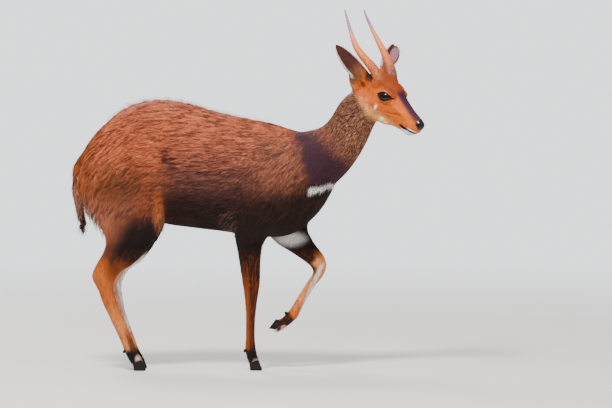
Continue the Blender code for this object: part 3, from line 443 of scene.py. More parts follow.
def makeSkin():
    core = copyOfNodes(fleshNodes, "skin", skinValues["swell"])
    voxelRemesh(core, skinValues["bodyVoxel"])
    points = pointsOf(core)
    trunk = 0.1 + 0.9 * smoothStep(inBody(points)[:, 2], 34, 56)        # the legs are hardly softened
    soften(core, trunk * (1 - 0.8 * smoothStep(beyondNeck(points), -1.5, 0.5)), skinValues["bodySmoothing"])
    points = pointsOf(core)
    movePoints(core, points - normalsOf(core) * (skinValues["headUnder"] * onHead(points))[:, None])
    head = copyOfNodes(["head"] + earNodes, "skinHead", skinValues["swell"] * skinValues["headSwell"])
    shells = swellHead()
    activate(core)
    for shell in [head] + shells:
        shell.select_set(True)
    bpy.ops.object.join()
    voxelRemesh(core, skinValues["voxel"])
    points = pointsOf(core)
    away = beyondNeck(points)
    join = smoothStep(away, -5, -1) * (1 - smoothStep(away, 1.5, 4.5))
    outward = smoothStep(np.abs(inHead(points)[:, 1]), 6.2, 7.4)
    soften(core, join * (1 - outward), skinValues["joinSmoothing"])
    soften(core, np.where(earThin(pointsOf(core)), 0.25, 0.7), skinValues["headSmoothing"])
    thinOut(core, onHead(pointsOf(core)) < 0.5, skinValues["bodyShare"])
    points = pointsOf(core)
    movePoints(core, points - normalsOf(core) * (coatAt(points)[2] + skinValues["swell"])[:, None])
    return core


def earThin(points):
    head = inHead(points)
    thin = np.zeros(len(points), bool)
    for side in (1, -1):
        level, _, _, _, _, away = earField(head, side)
        thin |= (level > 0.3) & (away < 4) & (head[:, 1] * side > 5)
    return thin


def cutFiner(thing, chosenOf):
    # splits the edges of the chosen part, so that it can take finer forms
    mesh = bmesh.new()
    mesh.from_mesh(thing.data)
    points = np.array([vertex.co[:] for vertex in mesh.verts])
    chosen = chosenOf(points)
    mesh.verts.ensure_lookup_table()
    edges = [edge for edge in mesh.edges if chosen[edge.verts[0].index] or chosen[edge.verts[1].index]]
    bmesh.ops.subdivide_edges(mesh, edges=edges, cuts=1, use_grid_fill=True)
    bmesh.ops.triangulate(mesh, faces=[face for face in mesh.faces if len(face.verts) > 3])
    mesh.to_mesh(thing.data)
    mesh.free()
    thing.data.update()


muzzleValues = {
    "nostril": (15.35, 1.3, -0.95), "nostrilSize": (0.72, 0.75, 0.3), "nostrilTurn": 24,
    "nostrilDepth": 0.42, "nostrilWay": (0.45, 0.85, 0.1),
    "lipFrom": 9.8, "lipRise": 0.135, "lipLevel": -6.4, "lipDepth": 0.17, "lipWidth": 0.13,
}
# folds of the face: places along each as hx, hz, then depth, half width, and how dark the painted shade along
# it is
faceFolds = [
    ([(-2.2, -3.3), (-0.4, -3.1), (2.2, -2.2), (4.4, -0.6)], 0.07, 0.16, 0.35),
    ([(-0.6, -4.2), (1.8, -3.6), (3.9, -2.5)], 0.045, 0.14, 0.2),
    ([(2.8, -4.6), (5.9, -3.3), (8.4, -1.9)], 0.09, 0.3, 0.4),
    ([(-4.8, 1.2), (-2.6, 2.6), (0.4, 3.1), (3.0, 2.6)], 0.05, 0.2, 0.15),
    ([(-6.5, -1.5), (-6.0, -4.5), (-4.0, -7.0)], 0.06, 0.4, 0.12),
    ([(9.6, -3.2), (11.2, -2.0), (12.8, -0.6)], 0.05, 0.22, 0.15),
]


def ridgeAt(away, middle, wide):
    # 1 at a distance from something, falling off to both sides of it
    return np.exp(-((away - middle) / wide) ** 2)


def strokeAway(flat, line):
    # distance from places in a plane to a drawn line
    away = np.full(len(flat), 99.0)
    for start, end in zip(line[:-1], line[1:]):
        start, end = np.array(start, float), np.array(end, float)
        way = end - start
        t = np.clip(((flat - start) @ way) / (way @ way), 0, 1)
        away = np.minimum(away, np.linalg.norm(flat - start - t[:, None] * way, axis=1))
    return away


def lipAway(head):
    return head[:, 2] - (head[:, 0] * muzzleValues["lipRise"] + muzzleValues["lipLevel"])


def nostrilAt(head, side):
    # 1 on the nostril's edge and less inside it
    away = head - np.array(muzzleValues["nostril"]) * (1, side, 1)
    turn = math.radians(muzzleValues["nostrilTurn"])
    ahead = away[:, 0] * math.cos(turn) + away[:, 2] * math.sin(turn)
    above = away[:, 2] * math.cos(turn) - away[:, 0] * math.sin(turn)
    shares = np.column_stack((ahead, away[:, 1], above)) / np.array(muzzleValues["nostrilSize"])
    return np.linalg.norm(shares, axis=1)


def aroundEyes(points, reach):
    head = inHead(points)
    found = np.zeros(len(points), bool)
    for side in (1, -1):
        found |= np.linalg.norm(head - np.array((0.5, 4.1 * side, 0.2)), axis=1) < reach
    return found


def atMuzzle(points):
    return (inHead(points)[:, 0] > 9) & (beyondNeck(points) > 0)


def atLips(points):
    head = inHead(points)
    nostril = np.minimum(nostrilAt(head, 1), nostrilAt(head, -1))
    return (head[:, 0] > 9.4) & (beyondNeck(points) > 0) & ((np.abs(lipAway(head)) < 0.75) | (nostril < 1.9))


def settleLids(head, side):
    # skin around one eye laid on the lids, with a rim and creases, and sunk behind their opening
    reach, _, b, outside = eyeField(head, side)
    chosen = (outside < 2.2) & (reach < 4.2) & (reach > 1)
    lid = eyeValues["radius"] + eyeValues["lid"]
    settled = lid + (np.maximum(reach, lid) - lid) * smoothStep(outside, 0.0, 1.1)
    skinReach = np.where(outside < 1.1, settled, reach) + 0.07 * ridgeAt(outside, 0.14, 0.13)
    upper = 0.10 * ridgeAt(outside, 0.62, 0.1) + 0.05 * ridgeAt(outside, 1.15, 0.12)
    skinReach -= np.where(b > 0, upper, 0.06 * ridgeAt(outside, 0.5, 0.12))
    sunken = eyeValues["radius"] - eyeValues["hollow"]
    target = sunken + (skinReach - sunken) * smoothStep(outside, -0.04, 0.1)
    centre = np.array(eyeValues["centre"]) * (1, side, 1)
    moved = centre + (head - centre) * (target / np.maximum(reach, 0.1))[:, None]
    return np.where(chosen[:, None], moved, head)


def shapeFace(thing):
    # finer skin at the eyes and the muzzle, then lids, lips, folds and nostrils
    cutFiner(thing, lambda points: aroundEyes(points, 3.5))
    cutFiner(thing, lambda points: aroundEyes(points, 3.2))
    cutFiner(thing, atMuzzle)
    cutFiner(thing, atLips)
    head = inHead(pointsOf(thing))
    for side in (1, -1):
        head = settleLids(head, side)
    movePoints(thing, fromHead(head))
    normals = normalsOf(thing) @ headAxes
    ahead = beyondNeck(fromHead(head)) > 0
    lip = lipAway(head)
    onLip = smoothStep(head[:, 0], muzzleValues["lipFrom"] - 0.3, muzzleValues["lipFrom"] + 0.5) * ahead
    push = -onLip * muzzleValues["lipDepth"] * ridgeAt(lip, 0, muzzleValues["lipWidth"])
    push += onLip * 0.05 * (ridgeAt(lip, 0.4, 0.2) + ridgeAt(lip, -0.4, 0.2))
    out = np.abs(head[:, 1])
    cheeks = (out > 1.4) & ahead & ((head[:, 0] > -7) | (out < 6))
    for line, depth, wide, _ in faceFolds:
        away = strokeAway(head[:, [0, 2]], line)
        push += cheeks * depth * (0.35 * ridgeAt(away, 2 * wide, wide) - ridgeAt(away, 0, wide))
    head = head + normals * push[:, None]
    for side in (1, -1):
        inside = 1 - smoothStep(nostrilAt(head, side), 0.55, 1.15)
        rim = ridgeAt(nostrilAt(head, side), 1.35, 0.25)
        inwards = np.array(muzzleValues["nostrilWay"]) * (1, side, 1)
        head = head - inwards * (inside * muzzleValues["nostrilDepth"])[:, None]
        head = head + normals * (rim * 0.05)[:, None] * (head[:, 0] > 13)[:, None]
    movePoints(thing, fromHead(head))
    smoothShade(thing)


skin = makeSkin()
shapeFace(skin)
print("skin", len(skin.data.polygons), "faces")


def unwrapSkin(thing):
    activate(thing)
    bpy.ops.object.mode_set(mode="EDIT")
    bpy.ops.mesh.select_all(action="SELECT")
    bpy.ops.uv.smart_project(angle_limit=math.radians(70), island_margin=0.002)
    bpy.ops.object.mode_set(mode="OBJECT")
    thing.data.uv_layers[0].name = "OFBake"


unwrapSkin(skin)
print("skin unwrapped")


class Wire:
    # wraps one output socket, so that shader maths reads as plain expressions
    def __init__(self, paint, socket):
        self.paint = paint
        self.socket = socket

    def __add__(self, other):
        return self.paint.maths("ADD", self, other)

    def __sub__(self, other):
        return self.paint.maths("SUBTRACT", self, other)

    def __rsub__(self, other):
        return self.paint.maths("SUBTRACT", other, self)

    def __mul__(self, other):
        return self.paint.maths("MULTIPLY", self, other)

    def out(self, name):
        return Wire(self.paint, self.socket.node.outputs[name])

    __radd__ = __add__
    __rmul__ = __mul__


class Paint:
    def __init__(self, name, finish):
        self.material = bpy.data.materials.new(name)
        self.material.use_nodes = True
        self.tree = self.material.node_tree
        self.shader = self.tree.nodes["Principled BSDF"]
        for socket, value in finish.items():
            self.shader.inputs[socket].default_value = value

    def node(self, kind, settings, values):
        made = self.tree.nodes.new(kind)
        for name, value in settings.items():
            setattr(made, name, value)
        for name, value in values.items():
            self.feed(made.inputs[name], value)
        return Wire(self, made.outputs[0])

    def feed(self, socket, value):
        if isinstance(value, Wire):
            self.tree.links.new(value.socket, socket)
        elif isinstance(value, (int, float)) and hasattr(socket.default_value, "__len__"):
            socket.default_value = [value] * len(socket.default_value)
        elif hasattr(value, "__len__") and len(value) == 3 and len(socket.default_value) == 4:
            socket.default_value = (*value, 1)
        else:
            socket.default_value = value

    def show(self, socketName, value):
        self.feed(self.shader.inputs[socketName], value)

    def maths(self, operation, first, second):
        return self.node("ShaderNodeMath", {"operation": operation}, {0: first, 1: second})

    def vector(self, operation, first, second=None, out=0):
        values = {0: first} if second is None else {0: first, 1: second}
        made = self.node("ShaderNodeVectorMath", {"operation": operation}, values)
        return Wire(self, made.socket.node.outputs[out])

    def step(self, value, low, high):
        # 0 below low, 1 above high, smooth between; high may be the lower one
        values = {"Value": value, "From Min": low, "From Max": high, "To Min": 0.0, "To Max": 1.0}
        return self.node("ShaderNodeMapRange", {"interpolation_type": "SMOOTHSTEP", "clamp": True}, values)

    def between(self, value, low, lowEnd, highEnd, high):
        return self.step(value, low, lowEnd) * self.step(value, high, highEnd)

    def mix(self, factor, first, second):
        settings = {"data_type": "RGBA", "blend_type": "MIX"}
        made = self.node("ShaderNodeMix", settings, {0: factor, 6: first, 7: second})
        return Wire(self, made.socket.node.outputs[2])

    def noise(self, place, scale, detail=2.0, rough=0.5):
        values = {"Vector": place, "Scale": scale, "Detail": detail, "Roughness": rough}
        return self.node("ShaderNodeTexNoise", {}, values)

    def objectPlace(self):
        return self.node("ShaderNodeTexCoord", {}, {}).out("Object")

    def attribute(self, name, out="Fac"):
        return self.node("ShaderNodeAttribute", {"attribute_name": name}, {}).out(out)

    def bump(self, height, distance, strength):
        values = {"Height": height, "Distance": distance, "Strength": strength}
        self.show("Normal", self.node("ShaderNodeBump", {}, values))

    def spot(self, place, centre, radii, edge=0.35):
        # 1 inside an ellipsoid, fading out over its edge
        away = self.vector("SUBTRACT", place, centre)
        scaled = self.vector("MULTIPLY", away, tuple(1 / r for r in radii))
        return self.step(self.vector("LENGTH", scaled, out="Value"), 1 + edge, 1 - edge)

    def parts(self, place):
        made = self.node("ShaderNodeSeparateXYZ", {}, {0: place})
        return made.out("X"), made.out("Y"), made.out("Z")

    def joined(self, x, y, z):
        return self.node("ShaderNodeCombineXYZ", {}, {"X": x, "Y": y, "Z": z})


def colour(red, green, blue):
    # the shader's own value of a colour given as 0 to 255
    shares = [c / 255 for c in (red, green, blue)]
    return tuple(c / 12.92 if c < 0.0404 else ((c + 0.055) / 1.055) ** 2.4 for c in shares)


coatColours = {
    "rufous": (176, 85, 51), "rufousHighlight": (230, 138, 92), "orangeRump": (150, 72, 34),
    "rippleShadow": (56, 28, 22), "flank": (95, 55, 48), "shoulder": (131, 76, 56), "dark": (24, 11, 10),
    "dorsal": (66, 30, 24),
    "thighDark": (24, 11, 11), "thighPaintedShade": (92, 49, 24), "thighPale": (180, 118, 92), "scarAndFoldShade": (34, 18, 16),
    "collar": (52, 30, 43), "neck": (146, 87, 64), "neckPale": (228, 162, 124), "neckDark": (34, 18, 16),
    "leg": (206, 104, 40), "legBrown": (148, 66, 24), "legHighlight": (244, 160, 100), "legDark": (28, 13, 11),
    "foot": (26, 17, 17), "pastern": (226, 190, 176), "white": (246, 238, 232),
    "face": (216, 102, 32), "forehead": (146, 60, 20), "jaw": (255, 182, 108), "lid": (20, 12, 11),
    "noseBridge": (48, 25, 46), "nosePad": (9, 7, 9), "mouth": (16, 9, 9),
    "earBack": (70, 32, 28), "earBase": (130, 75, 44), "earRim": (252, 238, 226), "earDark": (26, 15, 14),
    "earInside": (150, 98, 112),
}
shade = {name: colour(*value) for name, value in coatColours.items()}
# small marks: their centres and half sizes in body places, or in head places for the face
# the ruffled patch on the flank, painted only: its own darker hair and painted shade along its folds
scarFolds = [
    ((-27.0, -12.6, 73.4), (1.6, 5, 0.5)), ((-27.0, -12.6, 71.0), (0.8, 5, 1.3)),
    ((-24.6, -12.6, 70.9), (1.7, 5, 0.42)), ((-25.3, -12.6, 69.4), (2.0, 5, 0.42)),
    ((-23.9, -12.6, 68.0), (1.7, 5, 0.4)),
]
pasterns = [
    ((-37.2, -5, 3.9), (1.1, 1.8, 1.5)), ((1.8, -2.4, 2.6), (1.1, 1.8, 1.5)),
    ((11.2, 3.6, 13.9), (0.9, 1.8, 0.9)),
]
faceSpots = [
    ((-1.0, 4.4, -5.0), (0.36, 1.5, 0.95)), ((2.2, 2.6, -7.7), (0.75, 2.2, 0.7)),
    ((14.6, 1.3, -4.0), (1.7, 1.6, 0.5)),
]
nosePad = {"centre": (16.1, 0, -0.9), "radii": (2.0, 2.1, 1.75)}


class Coat:
    # the coat's colour so far, and the places in centimetres that its markings go by
    def __init__(self, paint):
        self.paint = paint
        self.tone = None
        self.place = paint.attribute("place", "Vector")
        self.tint = paint.attribute("tint")
        fromWithers = paint.vector("SUBTRACT", self.place, tuple(bodyAt))
        self.body = paint.vector("MULTIPLY", fromWithers, (100, 100, 100))
        self.x, self.y, self.z = paint.parts(self.body)
        self.side = paint.maths("ABSOLUTE", self.y, 0)
        fromEyes = paint.vector("SUBTRACT", self.place, tuple(headAt))
        ways = [tuple(headAxes[:, k] * 100) for k in range(3)]
        self.hx, hy, self.hz = [paint.vector("DOT_PRODUCT", fromEyes, way, out="Value") for way in ways]
        self.hy = paint.maths("ABSOLUTE", hy, 0)
        self.head = paint.joined(self.hx, self.hy, self.hz)
        fromCut = paint.vector("SUBTRACT", self.body, neckEnd["at"])
        self.pastCut = paint.vector("DOT_PRODUCT", fromCut, neckEnd["towards"], out="Value")
        self.mottle = paint.noise(self.place, 70, 3)
        # breaks the edge of each marking
        self.ragged = (paint.noise(self.place, 45, 3) - 0.5) * 5 + self.tint * 1.1
        self.xr = self.x + self.ragged
        self.zr = self.z + self.ragged

    def lay(self, mask, name):
        self.tone = self.paint.mix(mask, self.tone, shade[name])


def trunkMarks(coat):
    step, spot = coat.paint.step, coat.paint.spot
    x, z, xr, zr, body = coat.x, coat.z, coat.xr, coat.zr, coat.body
    coat.tone = coat.paint.mix(step(xr, -46, -55), shade["rufous"], shade["orangeRump"])
    coat.lay(step(zr, 64, 54) * step(xr, -33, -39) * 0.4, "thighPale")
    # painted shade: a broad soft darker patch over the middle of the thigh
    coat.lay(spot(body, (-42, 0, 62), (10.5, 30, 8), 0.7) * 0.9, "thighPaintedShade")
    coat.lay(step(zr, 84, 62) * step(xr, -35, -21), "flank")
    coat.lay(step(zr, 84, 68) * step(xr, -4, 8), "shoulder")
    coat.lay(step(zr, 67, 54) * step(xr + (z - 57) * 0.29, -31, -26), "dark")       # the belly
    coat.lay(step(zr, 61, 48) * step(zr * 0.6 - xr, 79, 66) * step(xr, -20, -26), "thighDark")
    coat.lay(spot(body, (-29.4, 0, 54), (1.7, 30, 6.5), 0.6) * 0.6, "leg")      # the fold before the thigh
    coat.lay(step(zr - xr * 0.27, 58, 52) * step(xr, -6, -1), "dark")
    coat.lay(spot(body, (-4.9, 9, 52), (1.7, 6, 7), 0.6) * 0.6, "shoulder")     # long hair behind the elbow
    coat.lay(step(xr, 17, 21) * step(zr, 66, 62), "dark")       # the breast
    coat.lay(step(coat.side, 1.7, 0.6) * step(z, 76, 79) * step(x, 16, 10) * 0.8, "dorsal")
    # the ruffled patch: its darker hair, with painted shade where its folds lie
    for centre, radii in scarFolds:
        coat.lay(spot(body, centre, radii, 0.45) * 0.95, "scarAndFoldShade")


def neckMarks(coat):
    # grizzled neck, dark collar and the white half collar; gives the mask of the neck
    paint, step = coat.paint, coat.paint.step
    x, z, xr, zr = coat.x, coat.z, coat.xr, coat.zr
    nape = step(xr * 0.93 + zr, 96, 108)
    onNeck = step(xr + z * 0.3, 36.6, 41) * step(z, 60, 64)
    coat.lay(onNeck * (1 - nape) * 0.94, "collar")
    grizzle = paint.noise(paint.vector("MULTIPLY", coat.body, (1.3, 1.3, 0.7)), 3.2, 3, 0.8)
    neck = paint.mix(step(grizzle, 0.51, 0.6), shade["neck"], shade["neckPale"])
    neck = paint.mix(step(grizzle, 0.48, 0.4), neck, shade["neckDark"])
    neck = paint.mix(step(x - z * 0.62, -14.5, -18.5) * 0.2 + 0.36, neck, shade["neckDark"])
    coat.tone = paint.mix(onNeck * nape, coat.tone, neck)
    bandMiddle = (x - 23.8) * 0.25 + 61.2
    bandHalf = 1.4 - (x - 19) * 0.11
    outside = paint.maths("ABSOLUTE", zr * 0.5 + z * 0.5 - bandMiddle, 0) - bandHalf
    alongBand = paint.between(x + coat.ragged * 0.3, 19.2, 21.2, 40, 42)
    coat.lay(step(outside, 0.5, -0.5) * alongBand * step(z, 70, 66), "white")
    return onNeck


def hindLegMarks(coat, hind):
    step, x, z, zr = coat.paint.step, coat.x, coat.z, coat.zr
    coat.lay(step(zr + (x + 44) * 0.35, 39, 32) * hind, "leg")
    # painted light: the lower hind legs paler, as sunlit
    coat.lay(step(z, 24, 15) * hind * 0.5, "legHighlight")
    hock = coat.paint.spot(coat.body, (-44.5, -8, 34.0), (2.8, 6, 3.6), 0.7)
    coat.lay(hock * 0.65, "legDark")


def standingLegMarks(coat, standing, legs):
    step, x, z = coat.paint.step, coat.x, coat.z
    coat.lay(standing * step(z, 38, 32) * 0.8, "legBrown")
    front = step(x + coat.tint * 0.4, -0.6, 0.5) * step(z, 36, 32)
    coat.lay(standing * front * 0.85, "legDark")
    coat.lay(standing * legs * step(coat.zr, 25, 36) * 0.8, "legDark")


def liftedLegMarks(coat, lifted):
    paint, step, between = coat.paint, coat.paint.step, coat.paint.between
    x, z, zr = coat.x, coat.z, coat.zr
    # painted highlight: the lifted foreleg paler over its shank and knee
    shank = paint.mix(between(z, 18, 25, 35, 40) * 0.8, shade["leg"], shade["legHighlight"])
    coat.tone = paint.mix(lifted * step(z, 41, 36), coat.tone, shank)
    behind = step(x * 0.78 + zr * 0.62 - step(z, 35, 39) * 3.0, 39.2, 37.2)
    coat.lay(lifted * behind * between(z, 30, 34, 50, 56), "legDark")


def whiteInside(coat, hind, lifted):
    # the white that the inner sides of the legs show, and the edge of the far hind leg; gives that edge
    paint, step, between = coat.paint, coat.paint.step, coat.paint.between
    x, y, z = coat.x, coat.y, coat.z
    farEdge = paint.maths("MAXIMUM", z * 0.62 - 61.7, -36.7 - z * 0.27)
    farFront = step(x - farEdge, -1.5, -0.8) * step(y, 0, 0.5)
    front = paint.maths("MAXIMUM", step(coat.side, 5.6, 4.6) * 0.3, farFront)
    coat.lay(front * step(z, 40, 36) * step(z, 11, 16) * hind, "white")
    upper = paint.spot(coat.body, (13.2, 4, 44.0), (4.4, 3.6, 2.3), 0.6)
    coat.lay(lifted * step(y, 6.8, 5.4) * upper * 0.75, "white")
    inner = step(paint.maths("ABSOLUTE", x - 20.6 - (z - 27.5) * 0.42, 0), 1.1, 0.4)
    coat.lay(lifted * step(y, 5.2, 4.2) * inner * between(z, 17, 20, 33, 36.5) * 0.9, "white")
    return farEdge


def legMarks(coat):
    paint, step = coat.paint, coat.paint.step
    x, y, z, zr = coat.x, coat.y, coat.z, coat.zr
    legs = step(z, 49, 45)
    hind = step(x, -20, -25)
    fore = 1 - hind
    standing = step(y, 0, -0.5) * fore
    lifted = step(y, 0, 0.5) * fore
    hindLegMarks(coat, hind)
    coat.tone = paint.mix(fore * legs, coat.tone, paint.mix(step(zr, 34, 24), shade["legDark"], shade["leg"]))
    standingLegMarks(coat, standing, legs)
    liftedLegMarks(coat, lifted)
    farEdge = whiteInside(coat, hind, lifted)
    hanging = lifted * step(x + z * 0.6, 25.2, 23.8) * step(z, 24, 20)
    coat.lay(step(zr, 8.6, 6.6) * (1 - lifted) + hanging, "foot")
    nearFoot = step(x - farEdge + z * 0.05, -1.2, -0.2) * step(y, 0, -0.5) * step(z, 16, 10)
    coat.lay(hind * nearFoot * 0.8, "foot")
    for centre, radii in pasterns:
        coat.lay(paint.spot(coat.body, centre, radii), "pastern")
    lower = paint.noise(paint.vector("MULTIPLY", coat.body, (1.4, 1.4, 0.22)), 1.5, 3, 0.6)
    coat.lay(step(lower, 0.54, 0.38) * step(z, 42, 35) * step(z, 6, 12) * 0.6, "legBrown")
    tail = step(x, -53.5, -54.5) * step(coat.side, 5, 4.2) * step(z, 74, 71)
    coat.lay(tail * step(zr, 56, 50) * 0.85, "dark")        # the tail's tip


def hairStreaks(coat, onNeck):
    # wavy streaks along the lie: dark ones are painted shadow between the hair's clumps, light ones on the
    # upper trunk are a painted highlight; and broad darker patches
    paint, step = coat.paint, coat.paint.step
    x, y, z = coat.x, coat.y, coat.z
    drift = paint.vector("MULTIPLY", paint.noise(coat.place, 11, 2).out("Color"), (1.9, 1.9, 1.9))
    level = paint.vector("ADD", paint.vector("MULTIPLY", coat.body, (0.2, 0.5, 1.8)), drift)
    slanted = paint.vector("ADD", paint.joined((x - z) * 1.3, y * 0.4, (x + z) * 0.16), drift)
    leaning = paint.maths("MAXIMUM", step(x, -32, -42), step(x - z * 0.3, -18, -8))
    waves = [paint.noise(place, 1.0, 3, 0.6).out("Color") for place in (level, slanted)]
    streak = paint.parts(paint.mix(leaning, *waves))[0]
    blotch = paint.noise(coat.place, 6, 2)
    trunk = step(z, 44, 54) * step(coat.pastCut, 2, -1)
    # painted shadow: dark wavy streaks between the hair's clumps
    coat.lay(step(streak, 0.53, 0.38) * trunk * (1 - onNeck * 0.8) * 0.72, "rippleShadow")
    # painted highlight: light streaks along the upper trunk
    coat.lay(step(streak, 0.52, 0.68) * trunk * step(coat.zr, 58, 70) * (1 - onNeck) * 0.3, "rufousHighlight")
    # broad darker patches from noise, in the same brown
    coat.lay((blotch - 0.38) * 0.5 * trunk, "rippleShadow")


def headMarks(coat):
    # the face laid over the neck's colours; gives the mask of the wet nose pad
    paint, step, spot = coat.paint, coat.paint.step, coat.paint.spot
    hx, hy, hz, head = coat.hx, coat.hy, coat.hz, coat.head
    below = coat.tone
    coat.tone = paint.mix(step(hz + coat.ragged * 0.15, 0.2, 3.0), shade["face"], shade["forehead"])
    coat.lay(step(hz, -5.0, -7.6), "jaw")
    coat.lay(step(coat.pastCut, 5, 1) * step(hz, -7.5, -5) * step(coat.mottle, 0.48, 0.6) * 0.3, "neckPale")
    coat.lay(step(coat.mottle, 0.5, 0.3) * 0.35, "forehead")
    bridge = step(hy + coat.ragged * 0.06, 2.3, 1.3) * paint.between(hx, 1.0, 3.4, 15, 17)
    coat.lay(bridge * step(hz + hx * 0.22, 1.5, 2.7) * 0.95, "noseBridge")
    for centre, radii in faceSpots:
        coat.lay(spot(head, centre, radii), "white")
    lip = hz - hx * muzzleValues["lipRise"] - muzzleValues["lipLevel"]
    coat.lay(step(hx, 9.6, 11) * step(lip, -0.15, -0.45), "white")      # the chin
    coat.lay(spot(head, (-8.6, 4.0, 2.0), (1.8, 1.9, 2.1), 0.5) * 0.9, "earDark")       # between horn and ear
    behindEar = step(paint.maths("ABSOLUTE", hz + hx * 0.67 + 15.0, 0), 0.75, 0.3)
    behindEar = behindEar * paint.between(hx, -17.5, -16.5, -10.5, -9.5)
    coat.lay(behindEar * step(coat.pastCut, 0.4, 1.2), "white")
    pad = spot(head, nosePad["centre"], nosePad["radii"], 0.14)
    coat.lay(pad, "nosePad")
    lips = step(paint.maths("ABSOLUTE", lip, 0), 0.46, 0.26) * step(hx, 9.7, 10.3)
    coat.lay(paint.maths("MAXIMUM", lips, spot(head, (10.7, 2, -5.05), (1.5, 2, 0.6), 0.35)), "mouth")
    coat.tone = paint.mix(step(coat.pastCut + coat.ragged * 0.35, -0.6, 1.6), below, coat.tone)
    return pad


def earMarks(coat):
    # ears, then what is set point by point: dark places, painted shade among them, and pale places, painted
    # highlights among them
    paint, step = coat.paint, coat.paint.step
    ear = paint.attribute("ear")
    outside = paint.mix(step(ear + (coat.mottle - 0.5) * 0.2, 0.22, 0.46), shade["earBase"], shade["earBack"])
    outside = paint.mix(step(coat.mottle, 0.5, 0.34) * 0.5, outside, shade["earDark"])
    coat.tone = paint.mix(step(ear, 0.1, 0.2), coat.tone, outside)
    coat.lay(paint.attribute("earCup"), "earInside")
    # dark lid skin, tear lines and lashes, and painted shade in the creases, folds and nostrils
    coat.lay(paint.attribute("dusk"), "lid")
    # pale ear rims and hair, with painted highlights above the eyes and on the far ear's edge
    coat.lay(paint.attribute("pale"), "earRim")


def coatPaint(name, tufted):
    # the same markings for skin and tufts; tufts are darker at the root and vary more
    paint = Paint(name, {"Roughness": 0.6, "Specular IOR Level": 0.14})
    coat = Coat(paint)
    trunkMarks(coat)
    onNeck = neckMarks(coat)
    legMarks(coat)
    hairStreaks(coat, onNeck)
    pad = headMarks(coat)
    earMarks(coat)
    brightness = 1.0 + coat.tint * (0.3 if tufted else 0.1)
    if tufted:
        brightness = brightness * (0.62 + paint.attribute("along") * 0.56)
    lit = paint.vector("SCALE", coat.tone)
    paint.feed(lit.socket.node.inputs["Scale"], paint.maths("MAXIMUM", brightness, 0.15))
    paint.show("Base Color", lit)
    paint.show("Roughness", 0.56 - pad * 0.3)
    paint.show("Coat Weight", pad * 0.5)
    place = paint.objectPlace()
    paint.bump(paint.mix(pad, paint.noise(place, 900, 2), paint.noise(place, 420, 1)), 0.0008, 0.6)
    return paint.material


skinMaterial = coatPaint("coatSkin", False)
tuftMaterial = coatPaint("coatTufts", True)
skin.data.materials.clear()
skin.data.materials.append(skinMaterial)
print("coat colours")


def giveAttribute(mesh, name, kind, values):
    attribute = mesh.attributes.new(name, kind, "POINT")
    field = "vector" if kind == "FLOAT_VECTOR" else "value"
    attribute.data.foreach_set(field, np.ascontiguousarray(values, np.float32).ravel())


def raiseMark(marks, name, where, values):
    marks[name] = np.where(where, np.maximum(marks[name], values), marks[name])


def markEar(marks, head, facing, ahead, side):
    # how far up the ear, inside its cup, and its pale rim
    level, across, _, facings, _, away = earField(head, side)
    isEar = (head[:, 1] * side > 4.2) & (away < 4.5) & ahead & (level > 0.04)
    raiseMark(marks, "ear", isEar, level * smoothStep(head[:, 1] * side, 4.6, 6.0))
    inside = smoothStep((facing * facings).sum(1), 0.15, 0.5) * smoothStep(level, 0.15, 0.3)
    raiseMark(marks, "earCup", isEar, inside * 0.9)
    out = np.abs(across)
    rim = smoothStep(out, 0.78, 0.92) * (1 - smoothStep(out, 1.02, 1.14)) * smoothStep(level, 0.26, 0.36)
    raiseMark(marks, "pale", isEar, rim * np.where(across < 0, 0.95, 0.3))


def markEye(marks, head, side):
    # dark lids and corners, painted shade in the crease, and a painted highlight: the pale arc above them
    reach, a, b, outside = eyeField(head, side)
    near = (outside < 3) & (reach < 4.5)
    rim = 1 - smoothStep(outside, 0.12, 0.36)
    flat = ((head - np.array(eyeValues["centre"]) * (1, side, 1)) @ eyeAxes(side).T)[:, :2]
    toCorner = np.minimum(*[strokeAway(flat, line) for line in eyeValues["corners"]])
    duct = 0.95 * (1 - smoothStep(toCorner, 0.1, 0.34))
    # painted shade in the crease above the eye
    crease = 0.4 * ridgeAt(outside, 0.95, 0.1) * (b > 0) * smoothStep(-a, -0.4, 0.6)
    raiseMark(marks, "dusk", near, np.maximum.reduce((rim, duct, crease)))
    # painted highlight: a pale arc where the fold above the upper lid catches light
    lidHighlight = 0.32 * smoothStep(outside, 0.3, 0.4) * (1 - smoothStep(outside, 0.5, 0.66))
    raiseMark(marks, "pale", near, lidHighlight * (b > 0.3) * smoothStep(-a, -0.9, 0.3))


def markFarEar(marks, head, facing):
    # the cup of the far ear's broad side, and a painted highlight along one edge of its rim
    along, across = np.array(farEar["along"]), np.array(farEar["across"])
    opens = np.cross(across, along)
    off = head - np.array(farEar["place"])
    r = np.hypot(off @ across / farEar["sizes"][0], off @ along / farEar["sizes"][2])
    shown = (r < 1.3) & (facing @ opens > 0.1) & (np.abs(off @ opens) < 1.4)
    raiseMark(marks, "ear", r < 1.2, 0.6 * (head[:, 1] > 5))
    marks["earCup"] = np.where(shown, 0.9 * (1 - smoothStep(r, 0.6, 0.8)), marks["earCup"])
    # painted highlight along the far ear's lit edge
    rim = 0.85 * smoothStep(r, 0.84, 0.96) * (off @ across > -0.4)
    marks["pale"] = np.where(shown, np.maximum(marks["pale"] * 0.3, rim), marks["pale"])


markNames = ("ear", "earCup", "dusk", "pale")
# the pale line behind the jaw, as hx, hz
paleThroat = [(-12.6, -2.6), (-11.2, -5.0), (-9.4, -6.7), (-8.3, -8.4)]


